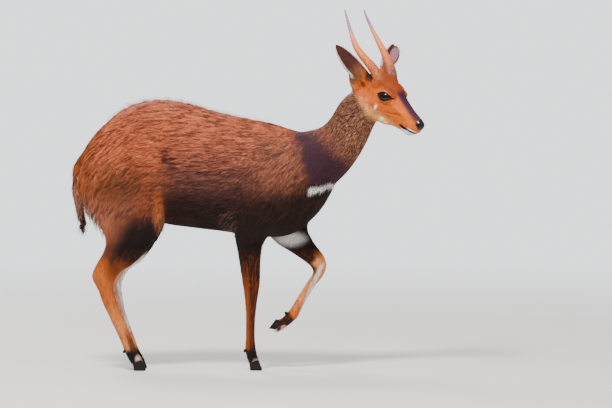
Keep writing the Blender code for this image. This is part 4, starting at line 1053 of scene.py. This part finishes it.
def pointMarks(points, normals):
    # what is painted point by point: how far up an ear, inside its cup, dark lids, painted shade in the
    # folds, creases and nostrils, pale rims, and painted highlights above the eyes and on the far ear's edge
    head = inHead(points)
    facing = normals @ headAxes
    ahead = beyondNeck(points) > -1
    marks = {name: np.zeros(len(points)) for name in markNames}
    for side in (1, -1):
        markEar(marks, head, facing, ahead, side)
        markEye(marks, head, side)
        # painted shade inside the nostrils
        raiseMark(marks, "dusk", ahead, 1 - smoothStep(nostrilAt(head, side), 0.85, 1.25))
    flat, out = head[:, [0, 2]], np.abs(head[:, 1])
    # painted shade along the folds of the face
    for line, _, wide, dark in faceFolds:
        shadow = dark * ridgeAt(strokeAway(flat, line), 0, wide * 1.2)
        raiseMark(marks, "dusk", ahead & (out > 1.4) & (out < 6), shadow)
    throat = 1 - smoothStep(strokeAway(flat, paleThroat), 0.2, 0.55)
    raiseMark(marks, "pale", ahead & (out > 3), 0.7 * throat)
    markFarEar(marks, head, facing)
    return marks


skinPoints, skinNormals = pointsOf(skin), normalsOf(skin)
giveAttribute(skin.data, "place", "FLOAT_VECTOR", skinPoints)
giveAttribute(skin.data, "tint", "FLOAT", np.zeros(len(skinPoints)))
for name, values in pointMarks(skinPoints, skinNormals).items():
    giveAttribute(skin.data, name, "FLOAT", values)
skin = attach(skin, "root")
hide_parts(*fleshNodes, *earNodes)


def trianglesOf(mesh, name):
    # a whole number for each corner of the mesh's triangles
    found = np.empty(len(mesh.loop_triangles) * 3, np.int32)
    mesh.loop_triangles.foreach_get(name, found)
    return found.reshape(-1, 3)


def uvsOf(mesh):
    found = np.empty(len(mesh.loops) * 2, np.float32)
    mesh.uv_layers["OFBake"].data.foreach_get("uv", found)
    return found.reshape(-1, 2).astype(float)


skin.data.calc_loop_triangles()
corners = trianglesOf(skin.data, "vertices")
loops = trianglesOf(skin.data, "loops")
uvs = uvsOf(skin.data)
skinTree = BVHTree.FromPolygons(skinPoints.tolist(), corners.tolist())
triangleEdges = [skinPoints[corners[:, k]] - skinPoints[corners[:, 0]] for k in (1, 2)]
triangleAreas = np.linalg.norm(np.cross(*triangleEdges), axis=1) / 2
triangleMiddles = skinPoints[corners].mean(1)
# neighbours follow one another, in cells of 2 cm
order = np.lexsort([np.floor(triangleMiddles[:, k] / 0.02) for k in (1, 2, 0)])


def scatter(density):
    # places on the skin, about density(triangle) of them to a square metre
    share = np.cumsum((triangleAreas * density)[order])
    count = int(share[-1])
    marks = (np.arange(count) + rng.random(count)) * share[-1] / count
    chosen = order[np.minimum(np.searchsorted(share, marks), len(order) - 1)]
    a = rng.random((count, 2))
    a = np.where(a.sum(1, keepdims=True) > 1, 1 - a, a)
    weights = np.column_stack((1 - a.sum(1), a))[:, :, None]
    points = (skinPoints[corners[chosen]] * weights).sum(1)
    normals = unit((skinNormals[corners[chosen]] * weights).sum(1))
    return points, normals, (uvs[loops[chosen]] * weights).sum(1)


def nearestSkin(points):
    found = [skinTree.find_nearest(point) for point in points.tolist()]
    return np.array([f[0] for f in found]), np.array([f[1] for f in found])


def waver(points, scale):
    # a smooth wandering number for neighbouring tufts, from -1 to 1
    x, y, z = (points * scale).T
    return (np.sin(x * 1.7 + np.sin(z * 2.3)) + np.sin(z * 2.9 + np.sin(x * 1.3 + y))) / 2


def raised(points, normals, lifts, hug):
    # points over the skin nearest to them, or over themselves where the hair hangs free
    if hug:
        points, normals = nearestSkin(points)
    return points + normals * lifts[:, None]


# rings of three points as shares of a tuft's length and width, and the faces between them and the tip
tuftKinds = {
    "bent": {
        "rings": [(0.0, 0.7), (0.5, 1.0)],
        "along": [0, 0, 0, 0.5, 0.5, 0.5, 1.0], "across": [-0.5, 0.5, 0, -0.5, 0.5, 0, 0],
        "quads": [(3, 5, 2, 0), (5, 4, 1, 2), (4, 3, 0, 1)],
        "tris": [(6, 5, 3), (6, 4, 5), (6, 3, 4), (2, 1, 0)],
    },
    "straight": {
        "rings": [(0.0, 1.0)],
        "along": [0, 0, 0, 1.0], "across": [-0.5, 0.5, 0, 0],
        "quads": [], "tris": [(3, 2, 0), (3, 1, 2), (3, 0, 1), (2, 1, 0)],
    },
}
# bow is how far the middle is lifted, as a share of the tip's lift, for hair that hugs the skin or hangs free
tuftValues = {
    "waver": 0.22, "thick": 0.22, "bow": {True: 0.62, False: 0.2}, "patch": 0.003, "tint": 0.45,
    "sunkShare": 0.25, "sunk": 0.4 * mm,
}


def tuftMesh(name, points, count, kind):
    # all tufts of a piece as one mesh, and the point at each of its loops
    faces = [index for face in kind["quads"] + kind["tris"] for index in face]
    flat = (np.arange(count)[:, None] * len(kind["along"]) + np.array(faces)).ravel()
    sizes = np.tile([4] * len(kind["quads"]) + [3] * len(kind["tris"]), count)
    starts = np.concatenate([[0], np.cumsum(sizes)[:-1]])
    mesh = bpy.data.meshes.new(name)
    mesh.vertices.add(len(points))
    mesh.vertices.foreach_set("co", points.astype(np.float32).ravel())
    mesh.loops.add(len(flat))
    mesh.loops.foreach_set("vertex_index", flat.astype(np.int32))
    mesh.polygons.add(len(sizes))
    mesh.polygons.foreach_set("loop_start", starts.astype(np.int32))
    mesh.polygons.foreach_set("use_smooth", np.ones(len(sizes), bool))
    mesh.update(calc_edges=True)
    return mesh, flat


def growTufts(name, tufts, kindName, marks=None, hug=True, spread=0.1):
    # one piece of hair, with a small solid form for each tuft
    roots, normals, places, lies, lengths, widths, lifts = tufts
    kind = tuftKinds[kindName]
    count, per = len(roots), len(kind["along"])
    lies = unit(lies - normals * (lies * normals).sum(1, keepdims=True))
    turn = waver(roots, 40) * tuftValues["waver"] + rng.normal(0, spread, count)
    sides = np.cross(normals, lies)
    lies = lies * np.cos(turn)[:, None] + sides * np.sin(turn)[:, None]
    sides = np.cross(normals, lies)
    tips = raised(roots + lies * lengths[:, None], normals, lifts, hug)
    points, shades = [], []
    for level, wide in kind["rings"]:
        if level == 0:
            middle = roots - normals * (tuftValues["sunkShare"] * lifts + tuftValues["sunk"])[:, None]
        else:
            middle = raised((roots + tips) / 2, normals, lifts * tuftValues["bow"][hug], hug)
        half = (widths * wide / 2)[:, None]
        top = (widths * wide * tuftValues["thick"])[:, None]
        points.extend([middle - sides * half, middle + sides * half, middle + normals * top])
        shades.extend([normals * 0.85 - sides * 0.5, normals * 0.85 + sides * 0.5, normals + lies * 0.15])
    points.append(tips)
    shades.append(normals + lies * 0.4)
    mesh, flat = tuftMesh(name, np.stack(points, 1).reshape(-1, 3), count, kind)
    along = np.array(kind["along"])
    patch = np.column_stack((kind["across"], along - 0.5)) * tuftValues["patch"]
    spots = (places[:, None] + patch[None]).reshape(-1, 2)
    mesh.uv_layers.new(name="OFBake").data.foreach_set("uv", spots[flat].astype(np.float32).ravel())
    centre = roots + (tips - roots) * 0.4
    marks = dict(marks or pointMarks(roots, normals))
    centre[:, 2] += marks.pop("above", 0)
    tint = np.clip(rng.normal(0, tuftValues["tint"], count), -1, 1)
    giveAttribute(mesh, "place", "FLOAT_VECTOR", np.repeat(centre, per, 0))
    giveAttribute(mesh, "tint", "FLOAT", np.repeat(tint, per))
    giveAttribute(mesh, "along", "FLOAT", np.tile(along, count))
    for mark, values in marks.items():
        giveAttribute(mesh, mark, "FLOAT", np.repeat(values, per))
    mesh.normals_split_custom_set_from_vertices(unit(np.stack(shades, 1).reshape(-1, 3)).tolist())
    thing = bpy.data.objects.new(name, mesh)
    bpy.context.scene.collection.objects.link(thing)
    mesh.materials.append(tuftMaterial)
    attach(thing, "root")
    print(name, count, "tufts")


coatValues = {
    "bodyCover": 4.0, "legCover": 2.8, "faceCover": 2.6, "earCover": 2.2,
    "faceFrom": -0.5, "earFrom": 5.6, "legTop": 44,
    "width": 0.115, "leastWidth": 0.42 * mm, "most": {"bent": 19500, "straight": 46800},
}


def regionsOf(points):
    # the face with the ears, the ears alone, and the legs
    face = beyondNeck(points) > coatValues["faceFrom"]
    ears = face & (np.abs(inHead(points)[:, 1]) > coatValues["earFrom"])
    return face, ears, ~face & (inBody(points)[:, 2] < coatValues["legTop"])


def widthsOf(lengths):
    return lengths * coatValues["width"] + coatValues["leastWidth"]


def coverOf(points, lengths):
    # tufts to a square metre, with none on the nose pad, between the lips and on the eyes
    face, ears, legs = regionsOf(points)
    cover = np.where(legs, coatValues["legCover"], coatValues["bodyCover"])
    cover = np.where(face, coatValues["faceCover"], cover)
    cover = np.where(ears, coatValues["earCover"], cover)
    head = inHead(points)
    bare = (((head - np.array(nosePad["centre"])) / np.array(nosePad["radii"])) ** 2).sum(1) < 0.95
    bare |= face & (head[:, 0] > muzzleValues["lipFrom"]) & (np.abs(lipAway(head)) < 0.16)
    for side in (1, -1):
        reach, _, _, outside = eyeField(head, side)
        bare |= (outside < 0.2) & (reach < 3.6)
    return np.where(bare, 0, cover / (lengths * widthsOf(lengths) * 0.6))


def nearEye(points):
    # 1 far from the eyes, down to about a third at the lids
    head = inHead(points)
    share = np.ones(len(points))
    for side in (1, -1):
        reach, _, _, outside = eyeField(head, side)
        share = np.where(reach < 4, np.minimum(share, 0.36 + 0.64 * smoothStep(outside, 0.2, 1.6)), share)
    return share


def growCoat():
    _, lengths, _ = coatAt(triangleMiddles)
    roots, normals, places = scatter(coverOf(triangleMiddles, lengths * nearEye(triangleMiddles)))
    count, small = len(roots), nearEye(roots)
    lies, lengths, depths = coatAt(roots)
    lengths = lengths * rng.uniform(0.75, 1.2, count) * small
    widths = widthsOf(lengths) * rng.uniform(0.75, 1.3, count)
    lifts = depths * rng.uniform(0.6, 1.2, count) * small
    face, ears, legs = regionsOf(roots)
    rows = [
        ("coat_ears", ears, "straight", "coat_ear"), ("coat_face", face & ~ears, "straight", "coat_face"),
        ("coat_legs", legs, "straight", "coat"), ("coat_trunk", ~(face | legs), "bent", "coat"),
    ]
    for name, chosen, kindName, slotName in rows:
        chosen = np.nonzero(chosen)[0]
        chosen = chosen[np.argsort(roots[chosen, 0], kind="stable")]
        pieces = math.ceil(len(chosen) / coatValues["most"][kindName])
        for k, part in enumerate(np.array_split(chosen, pieces)):
            label = name if pieces == 1 else name + "_" + str(k + 1)
            tufts = [values[part] for values in (roots, normals, places, lies, lengths, widths, lifts)]
            growTufts(label, tufts, kindName)


growCoat()

# longer hair: each patch's place and half sizes in body or head places, tufts to a square cm, lie, length,
# width, lift, how pale it is, and how far above it its colour is taken
fringes = {
    "crest": [("body", (-19, 0, 87), (32, 1.3, 9), 7.0, (-1, 0, 0.36), 2.8, 0.15, 1.8, 0.62, 0)],
    "tailHair": [
        ("body", (-57.0, 0, 62), (3.2, 5, 12), 3.4, (0.1, 0, -1), 3.6, 0.3, 0.6, 0.0, 0),
        ("body", (-56.4, 2.8, 56), (3.2, 2.4, 11), 1.6, (0.2, 0.2, -1), 4.0, 0.24, 0.9, 0.14, 3),
        ("body", (-55.6, 0, 48.5), (2.6, 3.2, 4), 3.0, (0.25, 0, -1), 3.0, 0.26, 0.5, 0.05, 0),
    ],
    "thighFringe": [
        ("body", (-54, 4.5, 56), (5, 4.6, 8), 1.8, (-0.18, 0, -1), 4.4, 0.26, 1.3, 0.1, 0),
        ("body", (-53, 5.5, 50), (5.2, 5.2, 8), 1.8, (0.0, 0, -1), 4.8, 0.24, 2.1, 0.34, 0),
        ("body", (-29.4, 9.5, 52.5), (1.9, 4.5, 6.5), 1.6, (-0.22, 0, -1), 3.6, 0.26, 0.8, 0.06, 0),
    ],
    "elbowFringe": [
        ("body", (-5.4, 8, 50.5), (3.4, 4, 5.5), 1.3, (-0.7, 0, -0.7), 3.4, 0.22, 0.7, 0.02, 11),
        ("body", (-6.2, 7.2, 46.8), (2.4, 3.5, 2.2), 1.3, (-0.45, 0, -0.9), 2.6, 0.2, 0.7, 0.04, 15),
    ],
    "collarHair": [("body", (24, 6, 62.2), (5.5, 6, 1.0), 2.2, (-0.5, 0, -0.86), 1.2, 0.16, 0.35, 0.0, 0)],
    "throatFringe": [("head", (-10.0, 4.8, -6.2), (1.6, 1.8, 3.6), 5, (0.1, 0, -1), 1.5, 0.12, 0.35, 0.5, 0)],
    "coronetHair": [
        ("body", (-37.2, 4.75, 4.1), (4, 3, 1.5), 7, (0.3, 0, -1), 1.7, 0.14, 0.3, 0.0, 0),
        ("body", (1.3, -1.95, 4.1), (4, 3, 1.5), 7, (0.3, 0, -1), 1.7, 0.14, 0.3, 0.0, 0),
        ("body", (10.0, 4.5, 14.2), (2.0, 3, 3.5), 9, (-0.9, 0, -0.1), 2.3, 0.15, 0.3, 0.0, 0),
    ],
}


def sidesOf(kind, place):
    # a patch on the middle or on a forefoot has no twin
    onForefoot = kind == "body" and place[0] > 0 and place[2] < 20
    return (1,) if place[1] == 0 or onForefoot else (1, -1)


def patchTufts(row, side, rearOnly):
    # the tufts of one patch, and their marks
    kind, place, sizes, share, lie, length, width, lift, pale, above = row
    flip = np.array((1, side, 1))
    where = inHead(triangleMiddles) if kind == "head" else inBody(triangleMiddles)
    inside = np.linalg.norm((where - np.array(place) * flip) / np.array(sizes), axis=1) < 1
    if rearOnly:
        inside &= skinNormals[corners[:, 0], 0] < -0.05
    roots, normals, places = scatter(np.where(inside, share * 1e4, 0))
    count = len(roots)
    way = np.array(lie, float) * flip
    way = headAxes @ way if kind == "head" else way
    lengths = length * cm * rng.uniform(0.65, 1.15, count)
    marks = pointMarks(roots, normals)
    marks["pale"] = np.clip(np.maximum(marks["pale"], pale * rng.uniform(0.4, 1.4, count)), 0, 1)
    marks["above"] = np.full(count, above * cm)
    widths = width * cm * rng.uniform(0.7, 1.2, count)
    lifts = lift * cm * rng.uniform(0.3, 1.1, count)
    return (roots, normals, places, np.repeat(way[None], count, 0), lengths, widths, lifts), marks


def growFringes():
    for name, rows in fringes.items():
        found = []
        for row in rows:
            rearOnly = name == "thighFringe" and row[1][0] < -40
            for side in sidesOf(*row[:2]):
                found.append(patchTufts(row, side, rearOnly))
        tufts = [np.concatenate([tufts[k] for tufts, _ in found]) for k in range(7)]
        marks = {key: np.concatenate([marks[key] for _, marks in found]) for key in found[0][1]}
        growTufts(name, tufts, "bent", marks, hug=False, spread=0.16)


earHair = {"share": 15e4, "outward": 0.55, "length": 0.8, "width": 0.09, "lift": 0.12}


def growEarHair():
    # the pale hair on the ears' edges
    head = inHead(triangleMiddles)
    density = np.zeros(len(head))
    for side in (1, -1):
        level, across, _, _, _, away = earField(head, side)
        isEar = (head[:, 1] * side > 4.8) & (away < 4.5) & (level > 0.27)
        onEdge = (np.abs(across) > 0.84) & (np.abs(across) < 1.1)
        density = np.where(isEar & onEdge, earHair["share"], density)
    roots, normals, places = scatter(density)
    count = len(roots)
    head = inHead(roots)
    ways, pale = np.zeros((count, 3)), np.zeros(count)
    for side in (1, -1):
        _, across, alongs, _, acrosses, _ = earField(head, side)
        mine = head[:, 1] * side > 0
        out = acrosses * np.sign(across)[:, None]
        ways = np.where(mine[:, None], (alongs + out * earHair["outward"]) @ headAxes.T, ways)
        pale = np.where(mine, np.where(across < 0, 0.95, 0.45), pale)
    marks = pointMarks(roots, normals)
    marks["pale"] = np.clip(pale * rng.uniform(0.7, 1.1, count), 0, 1)
    marks["earCup"] = np.zeros(count)
    lengths = earHair["length"] * cm * rng.uniform(0.6, 1.2, count)
    lifts = earHair["lift"] * cm * rng.uniform(0.2, 1, count)
    tufts = (roots, normals, places, ways, lengths, np.full(count, earHair["width"] * cm), lifts)
    growTufts("earFringe", tufts, "bent", marks, hug=False)


lashValues = {"most": 130, "length": 0.55, "width": 0.05, "lift": 0.02}


def growLashes():
    # one short hair at some of the points along each upper lid's edge
    head = inHead(skinPoints)
    rows = []
    for side in (1, -1):
        reach, a, b, outside = eyeField(head, side)
        onEdge = (np.abs(outside - 0.12) < 0.05) & (reach < 3.2)
        chosen = np.nonzero(onEdge & (b > 0.25) & (np.abs(a) < 2.5))[0]
        chosen = chosen[rng.random(len(chosen)) < min(1, lashValues["most"] / max(1, len(chosen)))]
        along, up, out = eyeAxes(side)
        ways = unit(out - up * 0.15 + along * (a[chosen] * 0.18 + 0.1)[:, None])
        rows.append((chosen, ways @ headAxes.T))
    chosen, ways = [np.concatenate([row[k] for row in rows]) for k in range(2)]
    firstLoop = np.zeros(len(skinPoints), int)
    firstLoop[corners.ravel()] = loops.ravel()
    sizes = [np.full(len(chosen), lashValues[key] * cm) for key in ("length", "width", "lift")]
    tufts = (skinPoints[chosen], unit(skinNormals[chosen] + ways * 0.2), uvs[firstLoop[chosen]], ways, *sizes)
    marks = {name: np.full(len(chosen), float(name == "dusk")) for name in markNames}
    growTufts("lashes", tufts, "straight", marks, hug=False)


growFringes()
growEarHair()
growLashes()


def finishPiece(piece, names, material):
    smoothShade(piece)
    piece.data.materials.clear()
    piece.data.materials.append(material)
    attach(piece, "root")
    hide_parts(*names)


def eyePaint():
    finish = {
        "Roughness": 0.07, "Coat Weight": 0.12, "Coat Roughness": 0.02,
        "IOR": 1.36, "Specular IOR Level": 0.4,
    }
    paint = Paint("eyeGlaze", finish)
    fibre = paint.noise(paint.objectPlace(), 420, 3)
    iris = paint.mix(paint.step(fibre, 0.35, 0.7), colour(12, 8, 8), colour(44, 22, 11))
    tone = paint.mix(paint.step(paint.attribute("iris"), 0.95, 1.12), iris, colour(12, 8, 7))
    tone = paint.mix(paint.step(paint.attribute("pupil"), 1.12, 0.92), tone, colour(3, 3, 5))
    paint.show("Base Color", tone)
    return paint.material


def makeEye(side, label):
    bpy.ops.object.select_all(action="DESELECT")
    bpy.ops.mesh.primitive_uv_sphere_add(segments=72, ring_count=48, radius=1)
    eye = bpy.context.object
    eye.name = "eyeball_" + label
    points = pointsOf(eye)
    bulge = 1 + eyeValues["cornea"] * smoothStep(points[:, 2], 0.62, 0.95)
    ball = (points * np.array(eyeValues["radii"]) * bulge[:, None]) @ eyeAxes(side)
    movePoints(eye, fromHead(np.array(eyeValues["centre"]) * (1, side, 1) + ball))
    for name in ("iris", "pupil"):
        wide, high = eyeValues[name]
        away = np.hypot(points[:, 0] / wide, points[:, 1] / high)
        giveAttribute(eye.data, name, "FLOAT", np.where(points[:, 2] > 0, away, 9))     # 9 is far outside
    activate(eye)
    bpy.ops.object.mode_set(mode="EDIT")
    bpy.ops.mesh.select_all(action="SELECT")
    bpy.ops.mesh.normals_make_consistent(inside=False)
    bpy.ops.object.mode_set(mode="OBJECT")
    finishPiece(eye, ["eye_" + label], eyeMaterial)


eyeMaterial = eyePaint()
makeEye(-1, "right")
makeEye(1, "left")
print("eyes")


hornValues = {"thicker": 0.16, "ridgeStep": 0.55, "ridge": 0.144, "grain": 0.014, "smoothFrom": 0.52}


def hornPaint(label, side):
    paint = Paint("hornSheath" + label, {"Roughness": 0.45, "Specular IOR Level": 0.3})
    place = paint.objectPlace()
    up = paint.attribute("up")
    streak = paint.noise(paint.vector("MULTIPLY", place, (1, 1, 0.3)), 150, 4, 0.6)
    crack = paint.noise(paint.vector("MULTIPLY", place, (1.6, 1.6, 0.7)), 210, 3, 0.7)
    base = paint.mix(paint.step(up, 0.4, 0.7), colour(226, 108, 36), colour(230, 136, 82))
    base = paint.mix(paint.step(up, 0.56 if side < 0 else 0.7, 0.84), base, colour(150, 112, 160))
    # the foot darker purple-grey; on the far horn much darker, painted shade
    base = paint.mix(paint.step(up, 0.48, 0.26) * (0.8 if side > 0 else 0.2), base, colour(92, 54, 64))
    base = paint.mix(paint.step(streak, 0.5, 0.66) * 0.3, base, colour(240, 176, 120))
    cracked = paint.step(crack, 0.5, 0.38) * paint.step(up, 0.66, 0.34)
    base = paint.mix(cracked * 0.8, base, colour(74, 42, 34))
    # painted shade in the ring grooves
    base = paint.mix(paint.attribute("groove") * 0.75, base, colour(84, 50, 42))
    paint.show("Base Color", base)
    paint.bump(streak * 0.6 + crack, 0.0012, 0.7)
    return paint.material


def hoofPaint():
    paint = Paint("hoofHorn", {"Roughness": 0.6, "Specular IOR Level": 0.15})
    place = paint.objectPlace()
    rings = paint.noise(paint.vector("MULTIPLY", place, (0.25, 0.25, 3)), 190, 3)
    scuff = paint.noise(place, 260, 4, 0.7)
    base = paint.mix(paint.step(rings, 0.35, 0.65), colour(12, 9, 9), colour(34, 25, 24))
    base = paint.mix(paint.step(scuff, 0.56, 0.7) * 0.25, base, colour(96, 78, 68))
    paint.show("Base Color", base)
    paint.bump(rings + scuff * 0.4, 0.0007, 0.7)
    return paint.material


def makeHorn(side, label):
    # the node's shape made finer, with rings and a rough lower half
    piece = copyOfNodes(["horn_" + label], "hornSheath_" + label)
    modifier = piece.modifiers.new("Subdivision", "SUBSURF")
    modifier.levels = 3
    modifier.render_levels = 3
    applyModifiers(piece)
    points, normals = pointsOf(piece), normalsOf(piece)
    head = inHead(points)
    low, high = head[:, 2].min(), head[:, 2].max()
    up = (head[:, 2] - low) / (high - low)
    run = head[:, 2] * 0.62 - head[:, 0] * 0.78 + waver(points, 60) * 0.12     # along the horn, for the rings
    points = points + normals * ((1 - smoothStep(up, 0.2, 0.75)) * hornValues["thicker"] * cm)[:, None]
    rough = 1 - smoothStep(up, 0.25, hornValues["smoothFrom"])
    groove = (0.5 - 0.5 * np.cos(run / hornValues["ridgeStep"] * 2 * np.pi)) ** 3 * rough
    grain = waver(points * np.array((1, 1, 0.25)), 420) * hornValues["grain"] * (0.25 + 0.75 * rough)
    relief = (0.3 - groove) * hornValues["ridge"] * rough + grain
    movePoints(piece, points + normals * relief[:, None] * cm)
    giveAttribute(piece.data, "up", "FLOAT", up)
    giveAttribute(piece.data, "groove", "FLOAT", groove)
    finishPiece(piece, ["horn_" + label], hornPaint(label.capitalize(), side))


# degrees and heights are stated for the feet that differ from the others
hoofValues = {
    "turns": {"fore_left": 105}, "bend": {"fore_left": 22}, "height": {"fore_left": 0.62},
    "voxel": 1.1 * mm, "smoothing": 9, "point": 0.5, "slope": 0.28, "shorter": 0.9,
    "dewclaw": 0.62, "dewclawAhead": 3.5 * mm,
}


def nodding(degrees):
    return np.array(Matrix.Rotation(math.radians(degrees), 3, "Y"))


def shapeHoof(local, leg, inner):
    # pointed and lower at the toe, drawn in a little, and bent where the leg is lifted
    low, high = local.min(0), local.max(0)
    level = (local[:, 0] - low[0]) / (high[0] - low[0])
    edge = high[1] if inner == leg.endswith("right") else low[1]
    local[:, 1] = edge + (local[:, 1] - edge) * (1 - hoofValues["point"] * smoothStep(level, 0.45, 1.05))
    local[:, 2] -= (local[:, 2] - low[2]) * hoofValues["slope"] * smoothStep(level, 0.5, 1.0)
    local[:, 0] = low[0] + (local[:, 0] - low[0]) * hoofValues["shorter"]
    local[:, 2] = high[2] - (high[2] - local[:, 2]) * hoofValues["height"].get(leg, 1)
    heel = np.array((low[0] + (high[0] - low[0]) * 0.35, 0, high[2]))
    return heel + (local - heel) @ nodding(hoofValues["bend"].get(leg, 0)).T


def shapeDewclaw(local):
    middle = (local.min(0) + local.max(0)) / 2
    return middle + (local - middle) * hoofValues["dewclaw"] + np.array((hoofValues["dewclawAhead"], 0, 0))


def makeHooves(leg):
    # one foot's half hooves and dewclaws, rounded and shaped
    names = [name for name in nodes if name.startswith(("hoof_" + leg, "dewclaw_" + leg))]
    spin = nodding(-hoofValues["turns"].get(leg, 0))
    pieces = []
    for name in names:
        piece = copyOfNodes([name], "hooves_" + leg)
        voxelRemesh(piece, hoofValues["voxel"])
        soften(piece, np.ones(len(piece.data.vertices)), hoofValues["smoothing"])
        local = pointsOf(piece) @ spin.T
        local = shapeHoof(local, leg, "inner" in name) if name.startswith("hoof") else shapeDewclaw(local)
        movePoints(piece, local @ spin)
        pieces.append(piece)
    activate(pieces[0])
    for piece in pieces:
        piece.select_set(True)
    bpy.ops.object.join()
    pieces[0].name = "hooves_" + leg
    finishPiece(pieces[0], names, hoofMaterial)


hoofMaterial = hoofPaint()
makeHorn(-1, "right")
makeHorn(1, "left")
for leg in ("fore_right", "fore_left", "hind_right", "hind_left"):
    makeHooves(leg)
print("horns and hooves")


studio = {
    "distance": 14, "azimuth": 3, "elevation": 3, "width": 2.04, "aim": (18.7, 0, 55.5),
    "horizon": 0.4, "overhead": 0.82, "backdrop": 1.9, "sky": (0.95, 0.97, 1.0, 1),
    "floor": 60, "fade": (5.5, 1.4), "lampsAim": (0.1, 0, 0.6),
    "lamps": [
        ("keyLight", (-1.0, -3.4, 5.2), 560, 1.3), ("fillLight", (4.5, -3.5, 1.8), 60, 2.5),
        ("rimLight", (-2.0, 3.2, 4.6), 240, 2.0),
    ],
}


def makeFloor():
    # pale, and fading into the backdrop
    bpy.ops.object.select_all(action="DESELECT")
    bpy.ops.mesh.primitive_plane_add(size=1, location=(0, 0, 0))
    floor = bpy.context.object
    floor.name = "floor"
    bpy.ops.object.mode_set(mode="EDIT")
    bpy.ops.transform.resize(value=(studio["floor"], studio["floor"], 1))
    bpy.ops.object.mode_set(mode="OBJECT")
    paint = Paint("floorPaint", {"Roughness": 0.85})
    place = paint.objectPlace()
    tone = paint.mix(paint.noise(place, 3, 4), colour(214, 211, 205), colour(222, 219, 213))
    paint.show("Base Color", tone)
    paint.show("Alpha", paint.step(paint.vector("LENGTH", place, out="Value"), *studio["fade"]))
    floor.data.materials.append(paint.material)


def makeSky():
    # brighter overhead than at the horizon, and a plain pale backdrop to the lens
    world = bpy.context.scene.world or bpy.data.worlds.new("studio")
    bpy.context.scene.world = world
    world.use_nodes = True
    tree = world.node_tree
    coordinates = tree.nodes.new("ShaderNodeTexCoord")
    parts = tree.nodes.new("ShaderNodeSeparateXYZ")
    ramp = tree.nodes.new("ShaderNodeMapRange")
    path = tree.nodes.new("ShaderNodeLightPath")
    seen = tree.nodes.new("ShaderNodeMix")
    seen.data_type = "FLOAT"
    seen.inputs[3].default_value = studio["backdrop"]
    settings = {"From Min": 0.0, "From Max": 0.9, "To Min": studio["horizon"], "To Max": studio["overhead"]}
    for name, value in settings.items():
        ramp.inputs[name].default_value = value
    background = tree.nodes["Background"]
    background.inputs["Color"].default_value = studio["sky"]
    tree.links.new(coordinates.outputs["Generated"], parts.inputs[0])
    tree.links.new(parts.outputs["Z"], ramp.inputs["Value"])
    tree.links.new(path.outputs["Is Camera Ray"], seen.inputs[0])
    tree.links.new(ramp.outputs["Result"], seen.inputs[2])
    tree.links.new(seen.outputs[0], background.inputs["Strength"])


def makeLamps():
    for name, place, power, size in studio["lamps"]:
        lamp = bpy.data.lights.new(name, "AREA")
        lamp.energy = power
        lamp.size = size
        thing = bpy.data.objects.new(name, lamp)
        thing.location = place
        thing.rotation_mode = "QUATERNION"
        thing.rotation_quaternion = (Vector(studio["lampsAim"]) - Vector(place)).to_track_quat("-Z", "Y")
        bpy.context.scene.collection.objects.link(thing)


def makeCamera():
    lens = bpy.data.cameras.new("camera")
    camera = bpy.data.objects.new("camera", lens)
    bpy.context.scene.collection.objects.link(camera)
    azimuth, elevation = math.radians(studio["azimuth"]), math.radians(studio["elevation"])
    level = math.cos(elevation)
    back = Vector((math.sin(azimuth) * level, -math.cos(azimuth) * level, math.sin(elevation)))
    camera.location = Vector(fromBody(studio["aim"])) + back * studio["distance"]
    camera.rotation_mode = "QUATERNION"
    camera.rotation_quaternion = (-back).to_track_quat("-Z", "Y")
    lens.lens = 36 * studio["distance"] / studio["width"]
    lens.clip_end = 100
    bpy.context.scene.camera = camera


makeFloor()
makeSky()
makeLamps()
makeCamera()
print("studio")
print("finished")
